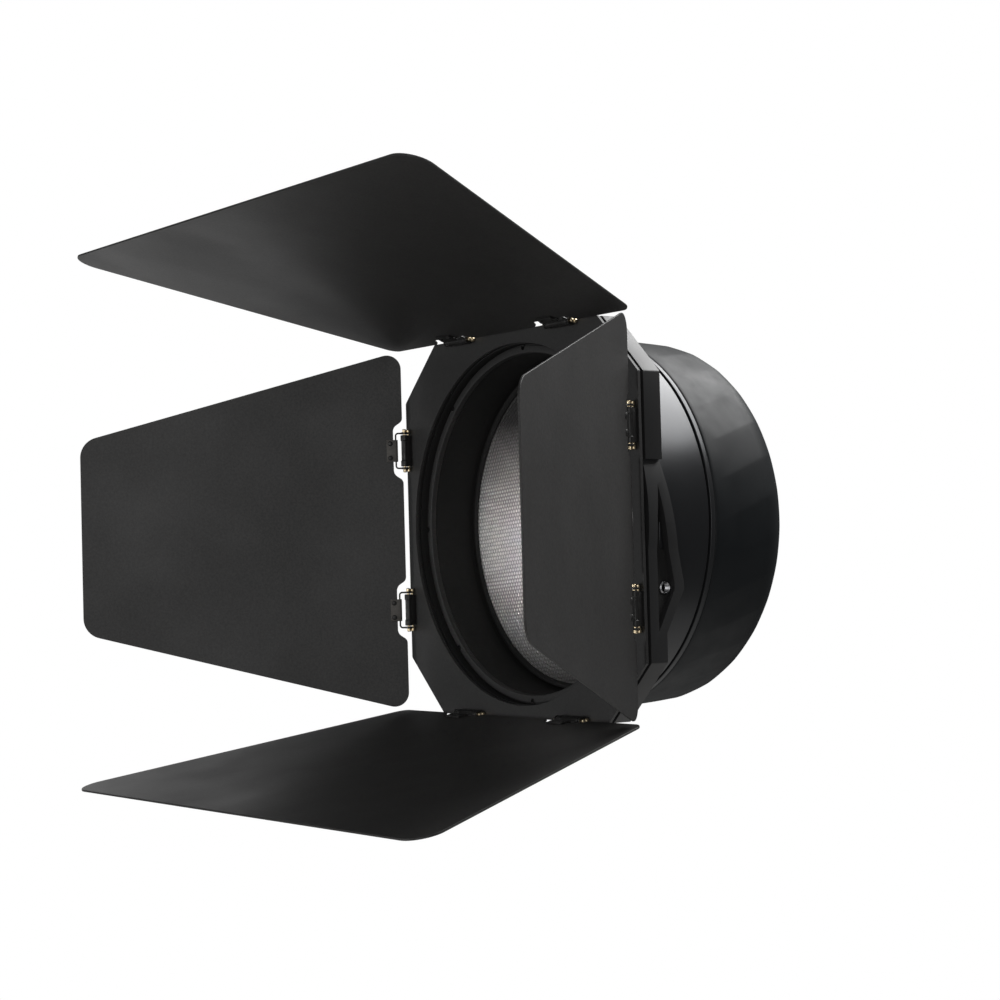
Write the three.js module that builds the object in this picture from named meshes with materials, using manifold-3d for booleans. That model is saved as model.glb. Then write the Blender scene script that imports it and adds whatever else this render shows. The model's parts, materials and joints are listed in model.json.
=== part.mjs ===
// Four-leaf barn doors on a round lens barrel, for a studio lamp with a bayonet front.
// Millimetres, +Z up. The beam leaves towards -Y. The origin is the centre of the bayonet seat.
import * as THREE from "three";
import { mergeVertices } from "three/addons/utils/BufferGeometryUtils.js";
import Module from "manifold-3d";

const wasm = await Module();
wasm.setup();

// ---- Driving dimensions -------------------------------------------------------------------

const SEAT_TO_PLATE = 130; // bayonet seat to the frame plate's front face
const GAP = 0.3; // clearance between pieces that touch
const RING_STEPS = 36; // facets round a large ring
const SMALL_STEPS = 8; // facets round a pin or an eye

// Octagonal frame that carries the doors. Distances along the beam are measured behind its face.
const FRAME_HALF_X = 116.5;
const FRAME_HALF_Z = 116;
const FRAME_CHAMFER = 34.5;
const PLATE_THICK = 2;
const PLATE_HOLE_R = 108.5;
const BLOCK_FRONT = 4;
const BLOCK_REAR = 16;
const BLOCK_HOLE_R = 108.6;

// The block's right side: below a step it bulges round the beam, then runs flat, and a pointed lug
// with an open pocket reaches back over the drum.
const BULGE_R = 118;
const BULGE_END_Z = -18.7;
const LUG_TOP_Z = 32;
const LUG_TIP_Z = -39;
const LUG_END_Z = -65.3;
const LUG_TIP_Y = 29.4;
const LUG_TIP_HALF = 2; // half the length of the blunt tip
const LUG_WALL = 7;
const LUG_ROOT = 6; // how far the lug reaches in under the pocket's floor
const POCKET_FLOOR_X = 112;
const POCKET_FRONT_Y = 10.3;
const POCKET_TOP = { y: 12, z: 18 };
const INSERT_R = 3.7;
const INSERT_Z = -39.9;
const INSERT_BORE_R = 2.6;
const INSERT_Y = 18.8;
const INSERT_DEPTH = 2.6;
const INSERT_PROUD = 1;
const INSERT_STEPS = 12;

// Barrel.
const FRONT_RING_Y = 8.2;
const FRONT_RING_R = 102.8;
const FRONT_RING_OUT_R = 107.2;
const FRONT_RING_THICK = 3.7;
const FRONT_RING_STEP = 1.6; // from its face back to the step out to the block's bore
const SCREW_NOTCH_R = 1.5;
const FRONT_SLEEVE_R = 104.8;
const SCREW_COUNT = 8;
const BAFFLE_IN_R = 103;
const BAFFLE_OUT_R = 104.2;
const BAFFLE_REAR = 46.6;
const DRUM_R = 113;
const DRUM_BORE_R = 104.6;
const DRUM_WALL = 3.5;
const DRUM_REAR = 53;
const SEAM_BORE_R = 105.6;
const LIP_R = 113.4;
const LIP_WALL = 3.5;
const LIP_REAR = 58;
const LIP_BEVEL = { r: 0.6, y: 0.8 };
const TUBE_IN_R = 101.4;
const TUBE_OUT_R = 104.5;
const TUBE_FRONT = 47;
const TUBE_REAR = 97;

// Focus ring: a straight band, then a quarter ellipse down to its rear rim.
const RING_FRONT = 56.3;
const GRIP_FRONT = 58.3;
const RING_BORE_R = 105.2;
const GRIP_R = 113;
const GRIP_THICK = 3.2;
const RIM_R = 80.2;
const RIM_Y = 125.9;
const SHOULDER_Y = 99.7;
const SHOULDER_R = 111.3;
const FLUTE_COUNT = 30;
const FLUTE_DEPTH = 1;
const FLUTE_TWIST = THREE.MathUtils.degToRad(9);

// Lens carriage, moved by three pins in helical grooves of the focus ring.
const LENS_R = 99.4;
const LENS_FRONT = 41.8;
const LENS_THICK = 5;
const CARRIAGE_R = 100.9;
const CARRIAGE_BORE_R = 97.2;
const CARRIAGE_REAR = 66;
const RETAINER_BORE_R = 97.7;
const CAM_PIN_R = 1.8;
const CAM_PIN_Y = 61.5;
const CAM_PIN_COUNT = 3;
const FOCUS_TRAVEL = 30;
const FOCUS_TURN = Math.PI / 2;
const SLOT_WIDTH = 4.6;

// Rear cover and bayonet.
const COVER_R = 79.4;
const COVER_WALL = 3;
const COVER_BORE_R = 46.5;
const COVER_CONE_REAR = 117.5;
const COVER_REAR = 126;
const THROAT_R = 44;
const FLANGE_R = 62;
const COLLAR_R = 48;
const COLLAR_LENGTH = 12;
const LUG_R = 52.5;
const BAYONET_LUGS = 3;
const REAR_SCREW_CIRCLE_R = 56;

// Doors.
const SHEET = 1.2;
const HINGE_AXIS_X = 113;
const HINGE_AXIS_Z = 115;
const HINGE_AXIS_Y = -4;
const HINGE_OFFSET = 51; // each hinge's distance from the middle of its side
const LEAF_START = 1.2; // sheet's first edge, from the hinge axis
const NOTCH_HALF = 19;
const NOTCH_END = 7.2;
const PIN_R = 1.55;
const EYE_BORE_R = 1.9;
const EYE_R = 2.5;
const WIDE_LEAF = { length: 203, hingeHalf: 118.5, freeHalf: 192.5 };
const NARROW_LEAF = { length: 205, hingeHalf: 115.2, freeHalf: 60.6 };
// turn: the side's place round the beam; open: the leaf's angle outwards from the beam at rest.
const SIDES = [
  { name: "right", turn: 0, axis: HINGE_AXIS_X, open: 35.9, leaf: NARROW_LEAF },
  { name: "top", turn: -90, axis: HINGE_AXIS_Z, open: 16.5, leaf: WIDE_LEAF },
  { name: "left", turn: 180, axis: HINGE_AXIS_X, open: 29.7, leaf: NARROW_LEAF },
  { name: "bottom", turn: 90, axis: HINGE_AXIS_Z, open: 11.1, leaf: WIDE_LEAF },
];

// ---- Materials ----------------------------------------------------------------------------

const finish = (color, roughness, metalness) =>
  new THREE.MeshStandardMaterial({ color, roughness, metalness });
const MATERIALS = {
  leaf: finish(0x2a2928, 0.75, 0.1),
  plate: finish(0x2b2b2b, 0.7, 0.1),
  block: finish(0x303031, 0.6, 0.1),
  drum: finish(0x38393c, 0.45, 0.2),
  baffle: finish(0x0c0c0c, 0.95, 0),
  blackPart: finish(0x141414, 0.6, 0.2),
  trim: finish(0x6d6e72, 0.35, 0.6),
  rubber: finish(0x2a2e34, 0.85, 0),
  brass: finish(0xb59a5e, 0.3, 1),
  steel: finish(0x8a8a8c, 0.35, 1),
  lens: finish(0xd8dcdc, 0.15, 0),
};

// ---- Solid helpers ------------------------------------------------------------------------

function toSolid(geometry) {
  const plain = geometry.clone();
  plain.deleteAttribute("normal");
  plain.deleteAttribute("uv");
  const merged = mergeVertices(plain, 1e-4);
  const index = merged.index.array;
  const triangles = [];
  for (let i = 0; i < index.length; i += 3) {
    const [a, b, c] = index.subarray(i, i + 3);
    if (a !== b && b !== c && a !== c) triangles.push(a, b, c);
  }
  return new wasm.Manifold(
    new wasm.Mesh({
      numProp: 3,
      vertProperties: merged.attributes.position.array,
      triVerts: new Uint32Array(triangles),
    }),
  );
}

function toGeometry(solid) {
  const mesh = solid.getMesh();
  const geometry = new THREE.BufferGeometry();
  geometry.setAttribute("position", new THREE.BufferAttribute(mesh.vertProperties, 3));
  geometry.setIndex(new THREE.BufferAttribute(mesh.triVerts, 1));
  return geometry;
}

const join = (...solids) => solids.reduce((all, next) => all.add(next));
const cut = (solid, ...tools) => tools.reduce((left, tool) => left.subtract(tool), solid);

// A ring, or a disc where the profile starts on the axis, turned about Y. The profile is a list
// of [radius, y] that runs anticlockwise with the radius to the right.
function turned(profile, steps = RING_STEPS) {
  const points = [...profile, profile[0]].map(([r, y]) => new THREE.Vector2(r, y));
  return toSolid(new THREE.LatheGeometry(points, steps));
}

const sleeve = (rIn, rOut, y0, y1, steps) =>
  turned([[rIn, y0], [rOut, y0], [rOut, y1], [rIn, y1]], steps);

// A block from its lowest to its highest corner.
function box(low, high) {
  const size = high.map((v, i) => v - low[i]);
  const geometry = new THREE.BoxGeometry(...size);
  geometry.translate(...low.map((v, i) => v + size[i] / 2));
  return toSolid(geometry);
}

function rodY(radius, y0, y1, x = 0, z = 0, steps = SMALL_STEPS) {
  const geometry = new THREE.CylinderGeometry(radius, radius, y1 - y0, steps);
  geometry.translate(x, (y0 + y1) / 2, z);
  return toSolid(geometry);
}

function rodZ(radius, z0, z1, x = 0, y = 0, steps = SMALL_STEPS) {
  const geometry = new THREE.CylinderGeometry(radius, radius, z1 - z0, steps);
  geometry.rotateX(Math.PI / 2);
  geometry.translate(x, y, (z0 + z1) / 2);
  return toSolid(geometry);
}

function rodX(radius, x0, x1, y = 0, z = 0, steps = SMALL_STEPS) {
  const geometry = new THREE.CylinderGeometry(radius, radius, x1 - x0, steps);
  geometry.rotateZ(Math.PI / 2);
  geometry.translate((x0 + x1) / 2, y, z);
  return toSolid(geometry);
}

// A flat outline drawn in X and Z, given thickness from y0 to y1.
function slab(shape, y0, y1, curveSegments = 4) {
  const geometry = new THREE.ExtrudeGeometry(shape, {
    depth: y1 - y0,
    bevelEnabled: false,
    curveSegments,
  });
  geometry.rotateX(Math.PI / 2);
  geometry.translate(0, y1, 0);
  return toSolid(geometry);
}

// A closed outline from corners [x, z, reach]: each corner is rounded over its reach.
function roundedOutline(corners) {
  const points = corners.map(([x, z]) => new THREE.Vector2(x, z));
  const shape = new THREE.Shape();
  points.forEach((corner, i) => {
    const reach = corners[i][2];
    const before = points.at(i - 1).clone().sub(corner).setLength(reach).add(corner);
    const after = points[(i + 1) % points.length].clone().sub(corner).setLength(reach);
    after.add(corner);
    if (i === 0) shape.moveTo(before.x, before.y);
    else shape.lineTo(before.x, before.y);
    if (reach > 0) shape.quadraticCurveTo(corner.x, corner.y, after.x, after.y);
  });
  shape.closePath();
  return shape;
}

function mesh(name, solid, material) {
  const made = new THREE.Mesh(toGeometry(solid), material);
  made.name = name;
  return made;
}

// Copies of a solid turned about the beam, so many to the circle.
function aroundBeam(solid, count, start = 0) {
  return Array.from({ length: count }, (_, i) => solid.rotate([0, start + (i * 360) / count, 0]));
}

// ---- Frame: plate, spacer, block and its side pocket ----------------------------------------

function octagon() {
  const x = FRAME_HALF_X;
  const z = FRAME_HALF_Z;
  const c = FRAME_CHAMFER;
  return roundedOutline([
    [x, -z + c, 2], [x, z - c, 2], [x - c, z, 2], [-x + c, z, 2],
    [-x, z - c, 2], [-x, -z + c, 2], [-x + c, -z, 2], [x - c, -z, 2],
  ]);
}

function octagonRing(holeRadius, y0, y1) {
  const hole = rodY(holeRadius, y0 - 1, y1 + 1, 0, 0, RING_STEPS);
  return cut(slab(octagon(), y0, y1, 1), hole);
}

// The pocket's outline runs in Y and Z; it is drawn flat and stood up on the block's right face.
function sidePlate(points, x0, x1) {
  const shape = new THREE.Shape(points.map(([y, z]) => new THREE.Vector2(y, z)));
  const geometry = new THREE.ExtrudeGeometry(shape, { depth: x1 - x0, bevelEnabled: false });
  // Shape X becomes Y, shape Y becomes Z, and the depth becomes X.
  geometry.applyMatrix4(new THREE.Matrix4().makeBasis(
    new THREE.Vector3(0, 1, 0), new THREE.Vector3(0, 0, 1), new THREE.Vector3(1, 0, 0),
  ));
  geometry.translate(x0, 0, 0);
  return toSolid(geometry);
}

function accessoryFrame() {
  const insideDrum = join(
    rodY(DRUM_R + 0.5, BLOCK_REAR, LUG_TIP_Y + 5, 0, 0, RING_STEPS),
    rodY(BLOCK_HOLE_R, BLOCK_REAR - 5, BLOCK_REAR + 1, 0, 0, RING_STEPS),
  );
  const tipLow = LUG_TIP_Z - LUG_TIP_HALF;
  const tipHigh = LUG_TIP_Z + LUG_TIP_HALF;
  const lug = sidePlate([
    [BLOCK_REAR - 2, LUG_TOP_Z], [BLOCK_REAR - 2, LUG_END_Z], [BLOCK_REAR, LUG_END_Z],
    [LUG_TIP_Y, tipLow], [LUG_TIP_Y, tipHigh], [BLOCK_REAR, LUG_TOP_Z],
  ], POCKET_FLOOR_X - LUG_ROOT, BULGE_R);
  const bulge = box(
    [FRAME_HALF_X - 1, BLOCK_FRONT, BULGE_END_Z], [BULGE_R, BLOCK_REAR, LUG_TOP_Z],
  );
  const beyond = (x, z0, z1) => box([x, BLOCK_FRONT - 1, z0], [BULGE_R + 1, LUG_TIP_Y + 1, z1]);
  const outside = join(
    cut(beyond(POCKET_FLOOR_X, BULGE_END_Z, LUG_TOP_Z),
      rodY(BULGE_R, BLOCK_FRONT - 2, LUG_TIP_Y + 2, 0, 0, 2 * RING_STEPS)),
    beyond(FRAME_HALF_X, LUG_END_Z - 1, BULGE_END_Z),
  );
  const pocket = sidePlate([
    [POCKET_TOP.y, POCKET_TOP.z], [POCKET_FRONT_Y, 0], [POCKET_FRONT_Y, LUG_END_Z + 1],
    [LUG_TIP_Y - LUG_WALL, tipLow], [LUG_TIP_Y - LUG_WALL, tipHigh],
  ], POCKET_FLOOR_X, BULGE_R + 1);
  const hole = rodX(
    INSERT_R + GAP, POCKET_FLOOR_X - 2 * LUG_ROOT, POCKET_FLOOR_X + 1, INSERT_Y, INSERT_Z,
    INSERT_STEPS,
  );
  const ring = octagonRing(BLOCK_HOLE_R, BLOCK_FRONT, BLOCK_REAR);
  return cut(join(ring, bulge, cut(lug, insideDrum)), outside, pocket, hole);
}

function addFrame(group) {
  const spacerFront = PLATE_THICK + GAP;
  group.add(mesh("frame_plate", octagonRing(PLATE_HOLE_R, 0, PLATE_THICK), MATERIALS.plate));
  group.add(mesh("spacer_ring",
    sleeve(PLATE_HOLE_R + 0.4, DRUM_R, spacerFront, BLOCK_FRONT - GAP), MATERIALS.blackPart));
  group.add(mesh("accessory_frame", accessoryFrame(), MATERIALS.block));
  const back = POCKET_FLOOR_X - INSERT_DEPTH;
  const face = POCKET_FLOOR_X + INSERT_PROUD;
  const insert = cut(
    rodX(INSERT_R, back, face, INSERT_Y, INSERT_Z, INSERT_STEPS),
    rodX(INSERT_BORE_R, back - 1, face + 1, INSERT_Y, INSERT_Z, INSERT_STEPS),
  );
  group.add(mesh("lock_screw_insert", insert, MATERIALS.steel));
}

// ---- Barrel: front ring, baffle, drum, seam ring and guide tube -------------------------------

function frontRing() {
  const ringOut = BLOCK_HOLE_R - 0.4;
  const ringRear = FRONT_RING_Y + FRONT_RING_THICK;
  const sleeveRear = BLOCK_REAR - 0.1;
  const step = FRONT_RING_Y + FRONT_RING_STEP;
  const ring = turned([
    [FRONT_RING_R, FRONT_RING_Y], [FRONT_RING_OUT_R, FRONT_RING_Y], [FRONT_RING_OUT_R, step],
    [ringOut, step], [ringOut, sleeveRear],
    [FRONT_SLEEVE_R, sleeveRear], [FRONT_SLEEVE_R, ringRear], [FRONT_RING_R, ringRear],
  ]);
  const notchX = FRONT_RING_OUT_R - 0.4 * SCREW_NOTCH_R;
  const notch = rodY(SCREW_NOTCH_R, FRONT_RING_Y - 1, step + 0.8, notchX);
  return cut(ring, ...aroundBeam(notch, SCREW_COUNT));
}

function drumShell() {
  const front = BLOCK_REAR + GAP;
  const wallIn = DRUM_R - DRUM_WALL;
  const rearBore = DRUM_BORE_R + 0.4;
  const flange = 3;
  return turned([
    [DRUM_BORE_R, front], [DRUM_R - 2, front], [DRUM_R - 0.4, front + 1.7],
    [DRUM_R, DRUM_REAR - 1.5], [DRUM_R - 0.7, DRUM_REAR], [rearBore, DRUM_REAR],
    [rearBore, DRUM_REAR - flange], [wallIn, DRUM_REAR - flange], [wallIn, front + flange],
    [DRUM_BORE_R, front + flange],
  ]);
}

// A disc between drum and focus ring, with a lip that covers the focus ring's front edge.
function seamRing() {
  const front = DRUM_REAR + 1.3;
  const web = RING_FRONT - GAP;
  const { r, y } = LIP_BEVEL;
  return turned([
    [SEAM_BORE_R, front], [LIP_R - r, front], [LIP_R, front + y], [LIP_R, LIP_REAR - y],
    [LIP_R - r, LIP_REAR], [LIP_R - LIP_WALL, LIP_REAR], [LIP_R - LIP_WALL, web],
    [SEAM_BORE_R, web],
  ]);
}

function guideTube() {
  const tube = sleeve(TUBE_IN_R, TUBE_OUT_R, TUBE_FRONT, TUBE_REAR);
  const slot = box(
    [TUBE_IN_R - 2, CAM_PIN_Y - 3, -SLOT_WIDTH / 2],
    [TUBE_OUT_R + 2, CAM_PIN_Y + FOCUS_TRAVEL + 3, SLOT_WIDTH / 2],
  );
  return cut(tube, ...aroundBeam(slot, CAM_PIN_COUNT, 30));
}

function addBarrel(group) {
  group.add(mesh("front_ring", frontRing(), MATERIALS.plate));
  const baffleFront = FRONT_RING_Y + FRONT_RING_THICK + GAP;
  group.add(mesh("baffle_tube",
    sleeve(BAFFLE_IN_R, BAFFLE_OUT_R, baffleFront, BAFFLE_REAR), MATERIALS.baffle));
  group.add(mesh("drum_shell", drumShell(), MATERIALS.drum));
  group.add(mesh("seam_ring", seamRing(), MATERIALS.trim));
  group.add(mesh("guide_tube", guideTube(), MATERIALS.baffle));
}

// ---- Rear: cover, bayonet ring and its screws -------------------------------------------------

function rearCover() {
  const cone = TUBE_REAR + 0.4;
  const inR = COVER_R - COVER_WALL;
  const floor = COVER_REAR - COVER_WALL;
  const cover = turned([
    [TUBE_OUT_R - 0.1, cone], [COVER_R, COVER_CONE_REAR], [COVER_R, COVER_REAR],
    [COVER_BORE_R, COVER_REAR], [COVER_BORE_R, floor], [inR, floor],
    [inR, COVER_CONE_REAR - 0.9], [TUBE_IN_R, cone],
  ]);
  const hole = rodY(1.9, floor - 1, COVER_REAR + 1, REAR_SCREW_CIRCLE_R);
  return cut(cover, ...aroundBeam(hole, 4, 45));
}

// One bayonet lug, a stretch of ring as wide as its angle.
function bayonetLug() {
  const half = THREE.MathUtils.degToRad(18);
  const shape = new THREE.Shape();
  shape.absarc(0, 0, LUG_R, -half, half, false);
  shape.absarc(0, 0, COLLAR_R - 1, half, -half, true);
  const rear = SEAT_TO_PLATE + COLLAR_LENGTH;
  return slab(shape, rear - 4.5, rear - 0.5, 5);
}

function bayonetRing() {
  const front = COVER_REAR + GAP;
  const rear = SEAT_TO_PLATE + COLLAR_LENGTH;
  const ring = turned([
    [THROAT_R, front], [FLANGE_R, front], [FLANGE_R, SEAT_TO_PLATE],
    [COLLAR_R, SEAT_TO_PLATE], [COLLAR_R, rear], [THROAT_R, rear],
  ]);
  const hole = join(
    rodY(1.9, front - 1, SEAT_TO_PLATE + 1, REAR_SCREW_CIRCLE_R),
    rodY(3.6, SEAT_TO_PLATE - 2.2, SEAT_TO_PLATE + 1, REAR_SCREW_CIRCLE_R),
  );
  return cut(join(ring, ...aroundBeam(bayonetLug(), BAYONET_LUGS)), ...aroundBeam(hole, 4, 45));
}

function addRear(group) {
  group.add(mesh("rear_cover", rearCover(), MATERIALS.blackPart));
  group.add(mesh("bayonet_ring", bayonetRing(), MATERIALS.steel));
  const screw = join(
    rodY(1.6, COVER_REAR - 4, SEAT_TO_PLATE - 1.5, REAR_SCREW_CIRCLE_R),
    rodY(3.2, SEAT_TO_PLATE - 1.9, SEAT_TO_PLATE - 0.4, REAR_SCREW_CIRCLE_R),
  );
  aroundBeam(screw, 4, 45).forEach((copy, i) => {
    group.add(mesh(`rear_screw_${i + 1}`, copy, MATERIALS.steel));
  });
}

// ---- Focus ring -----------------------------------------------------------------------------

// Points of a quarter ellipse from [rimRadius + width, y] round to [rimRadius, y + depth].
function shoulder(width, depth, y, steps) {
  return Array.from({ length: steps + 1 }, (_, i) => {
    const t = (i / steps) * (Math.PI / 2);
    return [RIM_R + width * Math.cos(t), y + depth * Math.sin(t)];
  });
}

// The helical groove that one cam pin runs in: a rectangle swept round and rearwards.
function camGroove() {
  const steps = 8;
  const extra = THREE.MathUtils.degToRad(3);
  const rise = FOCUS_TRAVEL / FOCUS_TURN;
  const half = SLOT_WIDTH / 2;
  const corners = [[RING_BORE_R - 2, -half], [RING_BORE_R + 2.8, -half],
    [RING_BORE_R + 2.8, half], [RING_BORE_R - 2, half]];
  const position = [];
  const index = [0, 2, 1, 0, 3, 2];
  for (let i = 0; i <= steps; i += 1) {
    const angle = -extra + (i / steps) * (FOCUS_TURN + 2 * extra);
    corners.forEach(([r, y]) => {
      position.push(r * Math.cos(angle), CAM_PIN_Y + rise * angle + y, r * Math.sin(angle));
    });
  }
  for (let i = 0; i < steps; i += 1) {
    for (let side = 0; side < 4; side += 1) {
      const a = 4 * i + side;
      const b = 4 * i + ((side + 1) % 4);
      index.push(a, b, a + 4, b, b + 4, a + 4);
    }
  }
  const last = 4 * steps;
  index.push(last, last + 1, last + 2, last, last + 2, last + 3);
  const geometry = new THREE.BufferGeometry();
  geometry.setAttribute("position", new THREE.Float32BufferAttribute(position, 3));
  geometry.setIndex(index);
  return toSolid(geometry);
}

function focusCore() {
  const outR = GRIP_R - GRIP_THICK - 0.5;
  const outer = shoulder(outR - RIM_R, 25.6, TUBE_REAR, 3);
  const inner = shoulder(RING_BORE_R - RIM_R, 20.3, TUBE_REAR + 1.2, 4).reverse();
  const core = turned([[RING_BORE_R, RING_FRONT], [outR, RING_FRONT], ...outer, ...inner]);
  return cut(core, ...aroundBeam(camGroove(), CAM_PIN_COUNT, 30));
}

// The whole rubber grip: every second line of the outside is drawn in, and the lines lean with
// the twist, so shallow flutes run across the band and fade out over the shoulder.
function fullGrip() {
  const inR = GRIP_R - GRIP_THICK - 0.2;
  const bands = [[GRIP_R, 63], [GRIP_R - 0.5, 82]];
  const outer = shoulder(SHOULDER_R - RIM_R, RIM_Y - SHOULDER_Y, SHOULDER_Y, 4);
  const inner = shoulder(inR - RIM_R, 25.9, TUBE_REAR, 3).reverse();
  const profile = [
    [inR, GRIP_FRONT], [GRIP_R - 0.6, GRIP_FRONT], [GRIP_R, GRIP_FRONT + 1],
    ...bands, ...outer, ...inner,
  ];
  const points = [...profile, profile[0]].map(([r, y]) => new THREE.Vector2(r, y));
  const geometry = new THREE.LatheGeometry(points, 2 * FLUTE_COUNT);
  const position = geometry.attributes.position;
  const firstBand = 3;
  const lastBand = firstBand + bands.length + outer.length - 1;
  for (let i = 0; i < position.count; i += 1) {
    const line = Math.floor(i / points.length);
    const band = i % points.length;
    if (band < firstBand || band > lastBand) continue;
    const v = new THREE.Vector3().fromBufferAttribute(position, i);
    const along = (v.y - bands[0][1]) / (RIM_Y - bands[0][1]);
    const depth = line % 2 ? FLUTE_DEPTH * Math.sin(Math.PI * Math.min(1, along * 1.25)) : 0;
    const radius = Math.hypot(v.x, v.z);
    v.multiply(new THREE.Vector3(1 - depth / radius, 1, 1 - depth / radius));
    v.applyAxisAngle(new THREE.Vector3(0, 1, 0), FLUTE_TWIST * along);
    position.setXYZ(i, v.x, v.y, v.z);
  }
  return toSolid(geometry);
}

// The grip in two pieces, a straight band and a domed shoulder, with a small gap between them.
function focusGrip() {
  const reach = GRIP_R + 5;
  const behind = box([-reach, SHOULDER_Y - GAP / 2, -reach], [reach, RIM_Y + 5, reach]);
  const before = box([-reach, RING_FRONT - 5, -reach], [reach, SHOULDER_Y + GAP / 2, reach]);
  const grip = fullGrip();
  return { band: cut(grip, behind), shoulder: cut(grip, before) };
}

function addFocusRing(group) {
  const grip = focusGrip();
  group.add(mesh("focus_ring_core", focusCore(), MATERIALS.blackPart));
  group.add(mesh("focus_ring_grip", grip.band, MATERIALS.rubber));
  group.add(mesh("focus_ring_shoulder", grip.shoulder, MATERIALS.rubber));
}

// ---- Lens carriage ----------------------------------------------------------------------------

function lens() {
  const steps = 4;
  const pitch = LENS_R / (steps + 0.25);
  const stepped = [];
  for (let i = steps; i > 0; i -= 1) {
    stepped.push([i * pitch, LENS_FRONT + 1.4], [i * pitch - 0.5, LENS_FRONT + 0.1]);
  }
  return turned([
    [0, LENS_FRONT + LENS_THICK], [0, LENS_FRONT + 0.1], ...stepped.reverse(),
    [LENS_R, LENS_FRONT + 0.1], [LENS_R, LENS_FRONT + LENS_THICK],
  ], RING_STEPS);
}

function lensCarrier() {
  const seat = LENS_FRONT + LENS_THICK + GAP;
  const tube = turned([
    [LENS_R + 0.4, LENS_FRONT], [CARRIAGE_R, LENS_FRONT], [CARRIAGE_R, CARRIAGE_REAR],
    [CARRIAGE_BORE_R, CARRIAGE_REAR], [CARRIAGE_BORE_R, seat], [LENS_R + 0.4, seat],
  ]);
  const hole = rodX(CAM_PIN_R + GAP, 90, 110, CAM_PIN_Y);
  return cut(tube, ...aroundBeam(hole, CAM_PIN_COUNT, 30));
}

function addLensCarriage(group) {
  group.add(mesh("lens", lens(), MATERIALS.lens));
  group.add(mesh("lens_carrier", lensCarrier(), MATERIALS.blackPart));
  group.add(mesh("lens_retainer",
    sleeve(RETAINER_BORE_R, CARRIAGE_R, LENS_FRONT - 2.3, LENS_FRONT - GAP), MATERIALS.blackPart));
  const pin = rodX(CAM_PIN_R, 98, RING_BORE_R + 2, CAM_PIN_Y);
  aroundBeam(pin, CAM_PIN_COUNT, 30).forEach((copy, i) => {
    group.add(mesh(`cam_pin_${i + 1}`, copy, MATERIALS.steel));
  });
}

// ---- Doors ------------------------------------------------------------------------------------
// A side's group has its hinge axis as Z, X pointing away from the beam and Y towards the plate.
// A leaf's group is turned about that axis, so that X runs along the sheet to its free edge.

const RIVET_X = 9.3;
const RIVET_HALF = 4.6;
const EYE_START = 10.6;
const EYE_END = 11.8;
const WIRE_HALF = 0.65;
const WIRE_X = 5.6; // the bail's straight bar, from the hinge axis
const ROLL_R = 1.3;
const TAB_END = 11.6;
const TAB_THICK = 1;
const TAB_HALF = 7;
const BRACKET_HALF = 10;
const RIVET_SPOTS = [-HINGE_OFFSET, HINGE_OFFSET].flatMap((z) => [z - RIVET_HALF, z + RIVET_HALF]);

function leafSheet({ length, hingeHalf, freeHalf }) {
  const notch = (z) => [
    [LEAF_START, z + NOTCH_HALF, 3], [NOTCH_END, z + NOTCH_HALF - 4, 4],
    [NOTCH_END, z - NOTCH_HALF + 4, 4], [LEAF_START, z - NOTCH_HALF, 3],
  ];
  const shape = roundedOutline([
    [LEAF_START, -hingeHalf, 12], [length, -freeHalf, 15], [length, freeHalf, 15],
    [LEAF_START, hingeHalf, 12], ...notch(HINGE_OFFSET), ...notch(-HINGE_OFFSET),
  ]);
  const rivetHoles = RIVET_SPOTS.map((z) => rodY(1.5, -2, 2, RIVET_X, z, 6));
  return cut(slab(shape, -SHEET / 2, SHEET / 2, 3), ...rivetHoles);
}

// A wire bail that hangs on the pin, clenched in the rolled edge of a riveted tab.
function leafClip() {
  const tabBack = -SHEET / 2 - GAP;
  const tabFront = tabBack - TAB_THICK;
  const eyes = [-1, 1].map((end) => {
    const low = Math.min(end * EYE_START, end * EYE_END);
    const high = Math.max(end * EYE_START, end * EYE_END);
    const arm = box(
      [EYE_BORE_R + 0.2, -WIRE_HALF, low + 0.05], [WIRE_X + WIRE_HALF, WIRE_HALF, high - 0.05],
    );
    return join(cut(rodZ(EYE_R, low, high), rodZ(EYE_BORE_R, low - 1, high + 1)), arm);
  });
  const barHalf = WIRE_HALF - 0.1;
  const barEnd = EYE_END - 0.4;
  const bar = box([WIRE_X - barHalf, -barHalf, -barEnd], [WIRE_X + barHalf, barHalf, barEnd]);
  const roll = rodZ(ROLL_R, 0.3 - TAB_HALF, TAB_HALF - 0.3, WIRE_X, -0.2);
  const tab = box([WIRE_X, tabFront, -TAB_HALF], [TAB_END, tabBack, TAB_HALF]);
  const rivets = [-RIVET_HALF, RIVET_HALF].map((z) => join(
    rodY(1.8, tabFront - 0.5, tabFront + 0.2, RIVET_X, z, 6),
    rodY(1.1, tabFront + 0.1, SHEET / 2 + 0.6, RIVET_X, z, 6),
    rodY(1.9, SHEET / 2 + GAP, SHEET / 2 + 0.9, RIVET_X, z, 6),
  ));
  return join(...eyes, bar, roll, tab, ...rivets);
}

function frameBracket() {
  const top = -HINGE_AXIS_Y - GAP;
  const base = box([-2.6, top - 1.5, -BRACKET_HALF], [2.6, top, BRACKET_HALF]);
  const barrel = rodZ(EYE_R, -BRACKET_HALF, BRACKET_HALF);
  return cut(join(base, barrel), rodZ(EYE_BORE_R, -BRACKET_HALF - 1, BRACKET_HALF + 1));
}

function hingePin() {
  const headStart = EYE_END + GAP;
  return join(
    rodZ(PIN_R, -headStart - 1, headStart + 1),
    rodZ(2.3, headStart, headStart + 1.9),
    rodZ(2.3, -headStart - 1.9, -headStart),
  );
}

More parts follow.
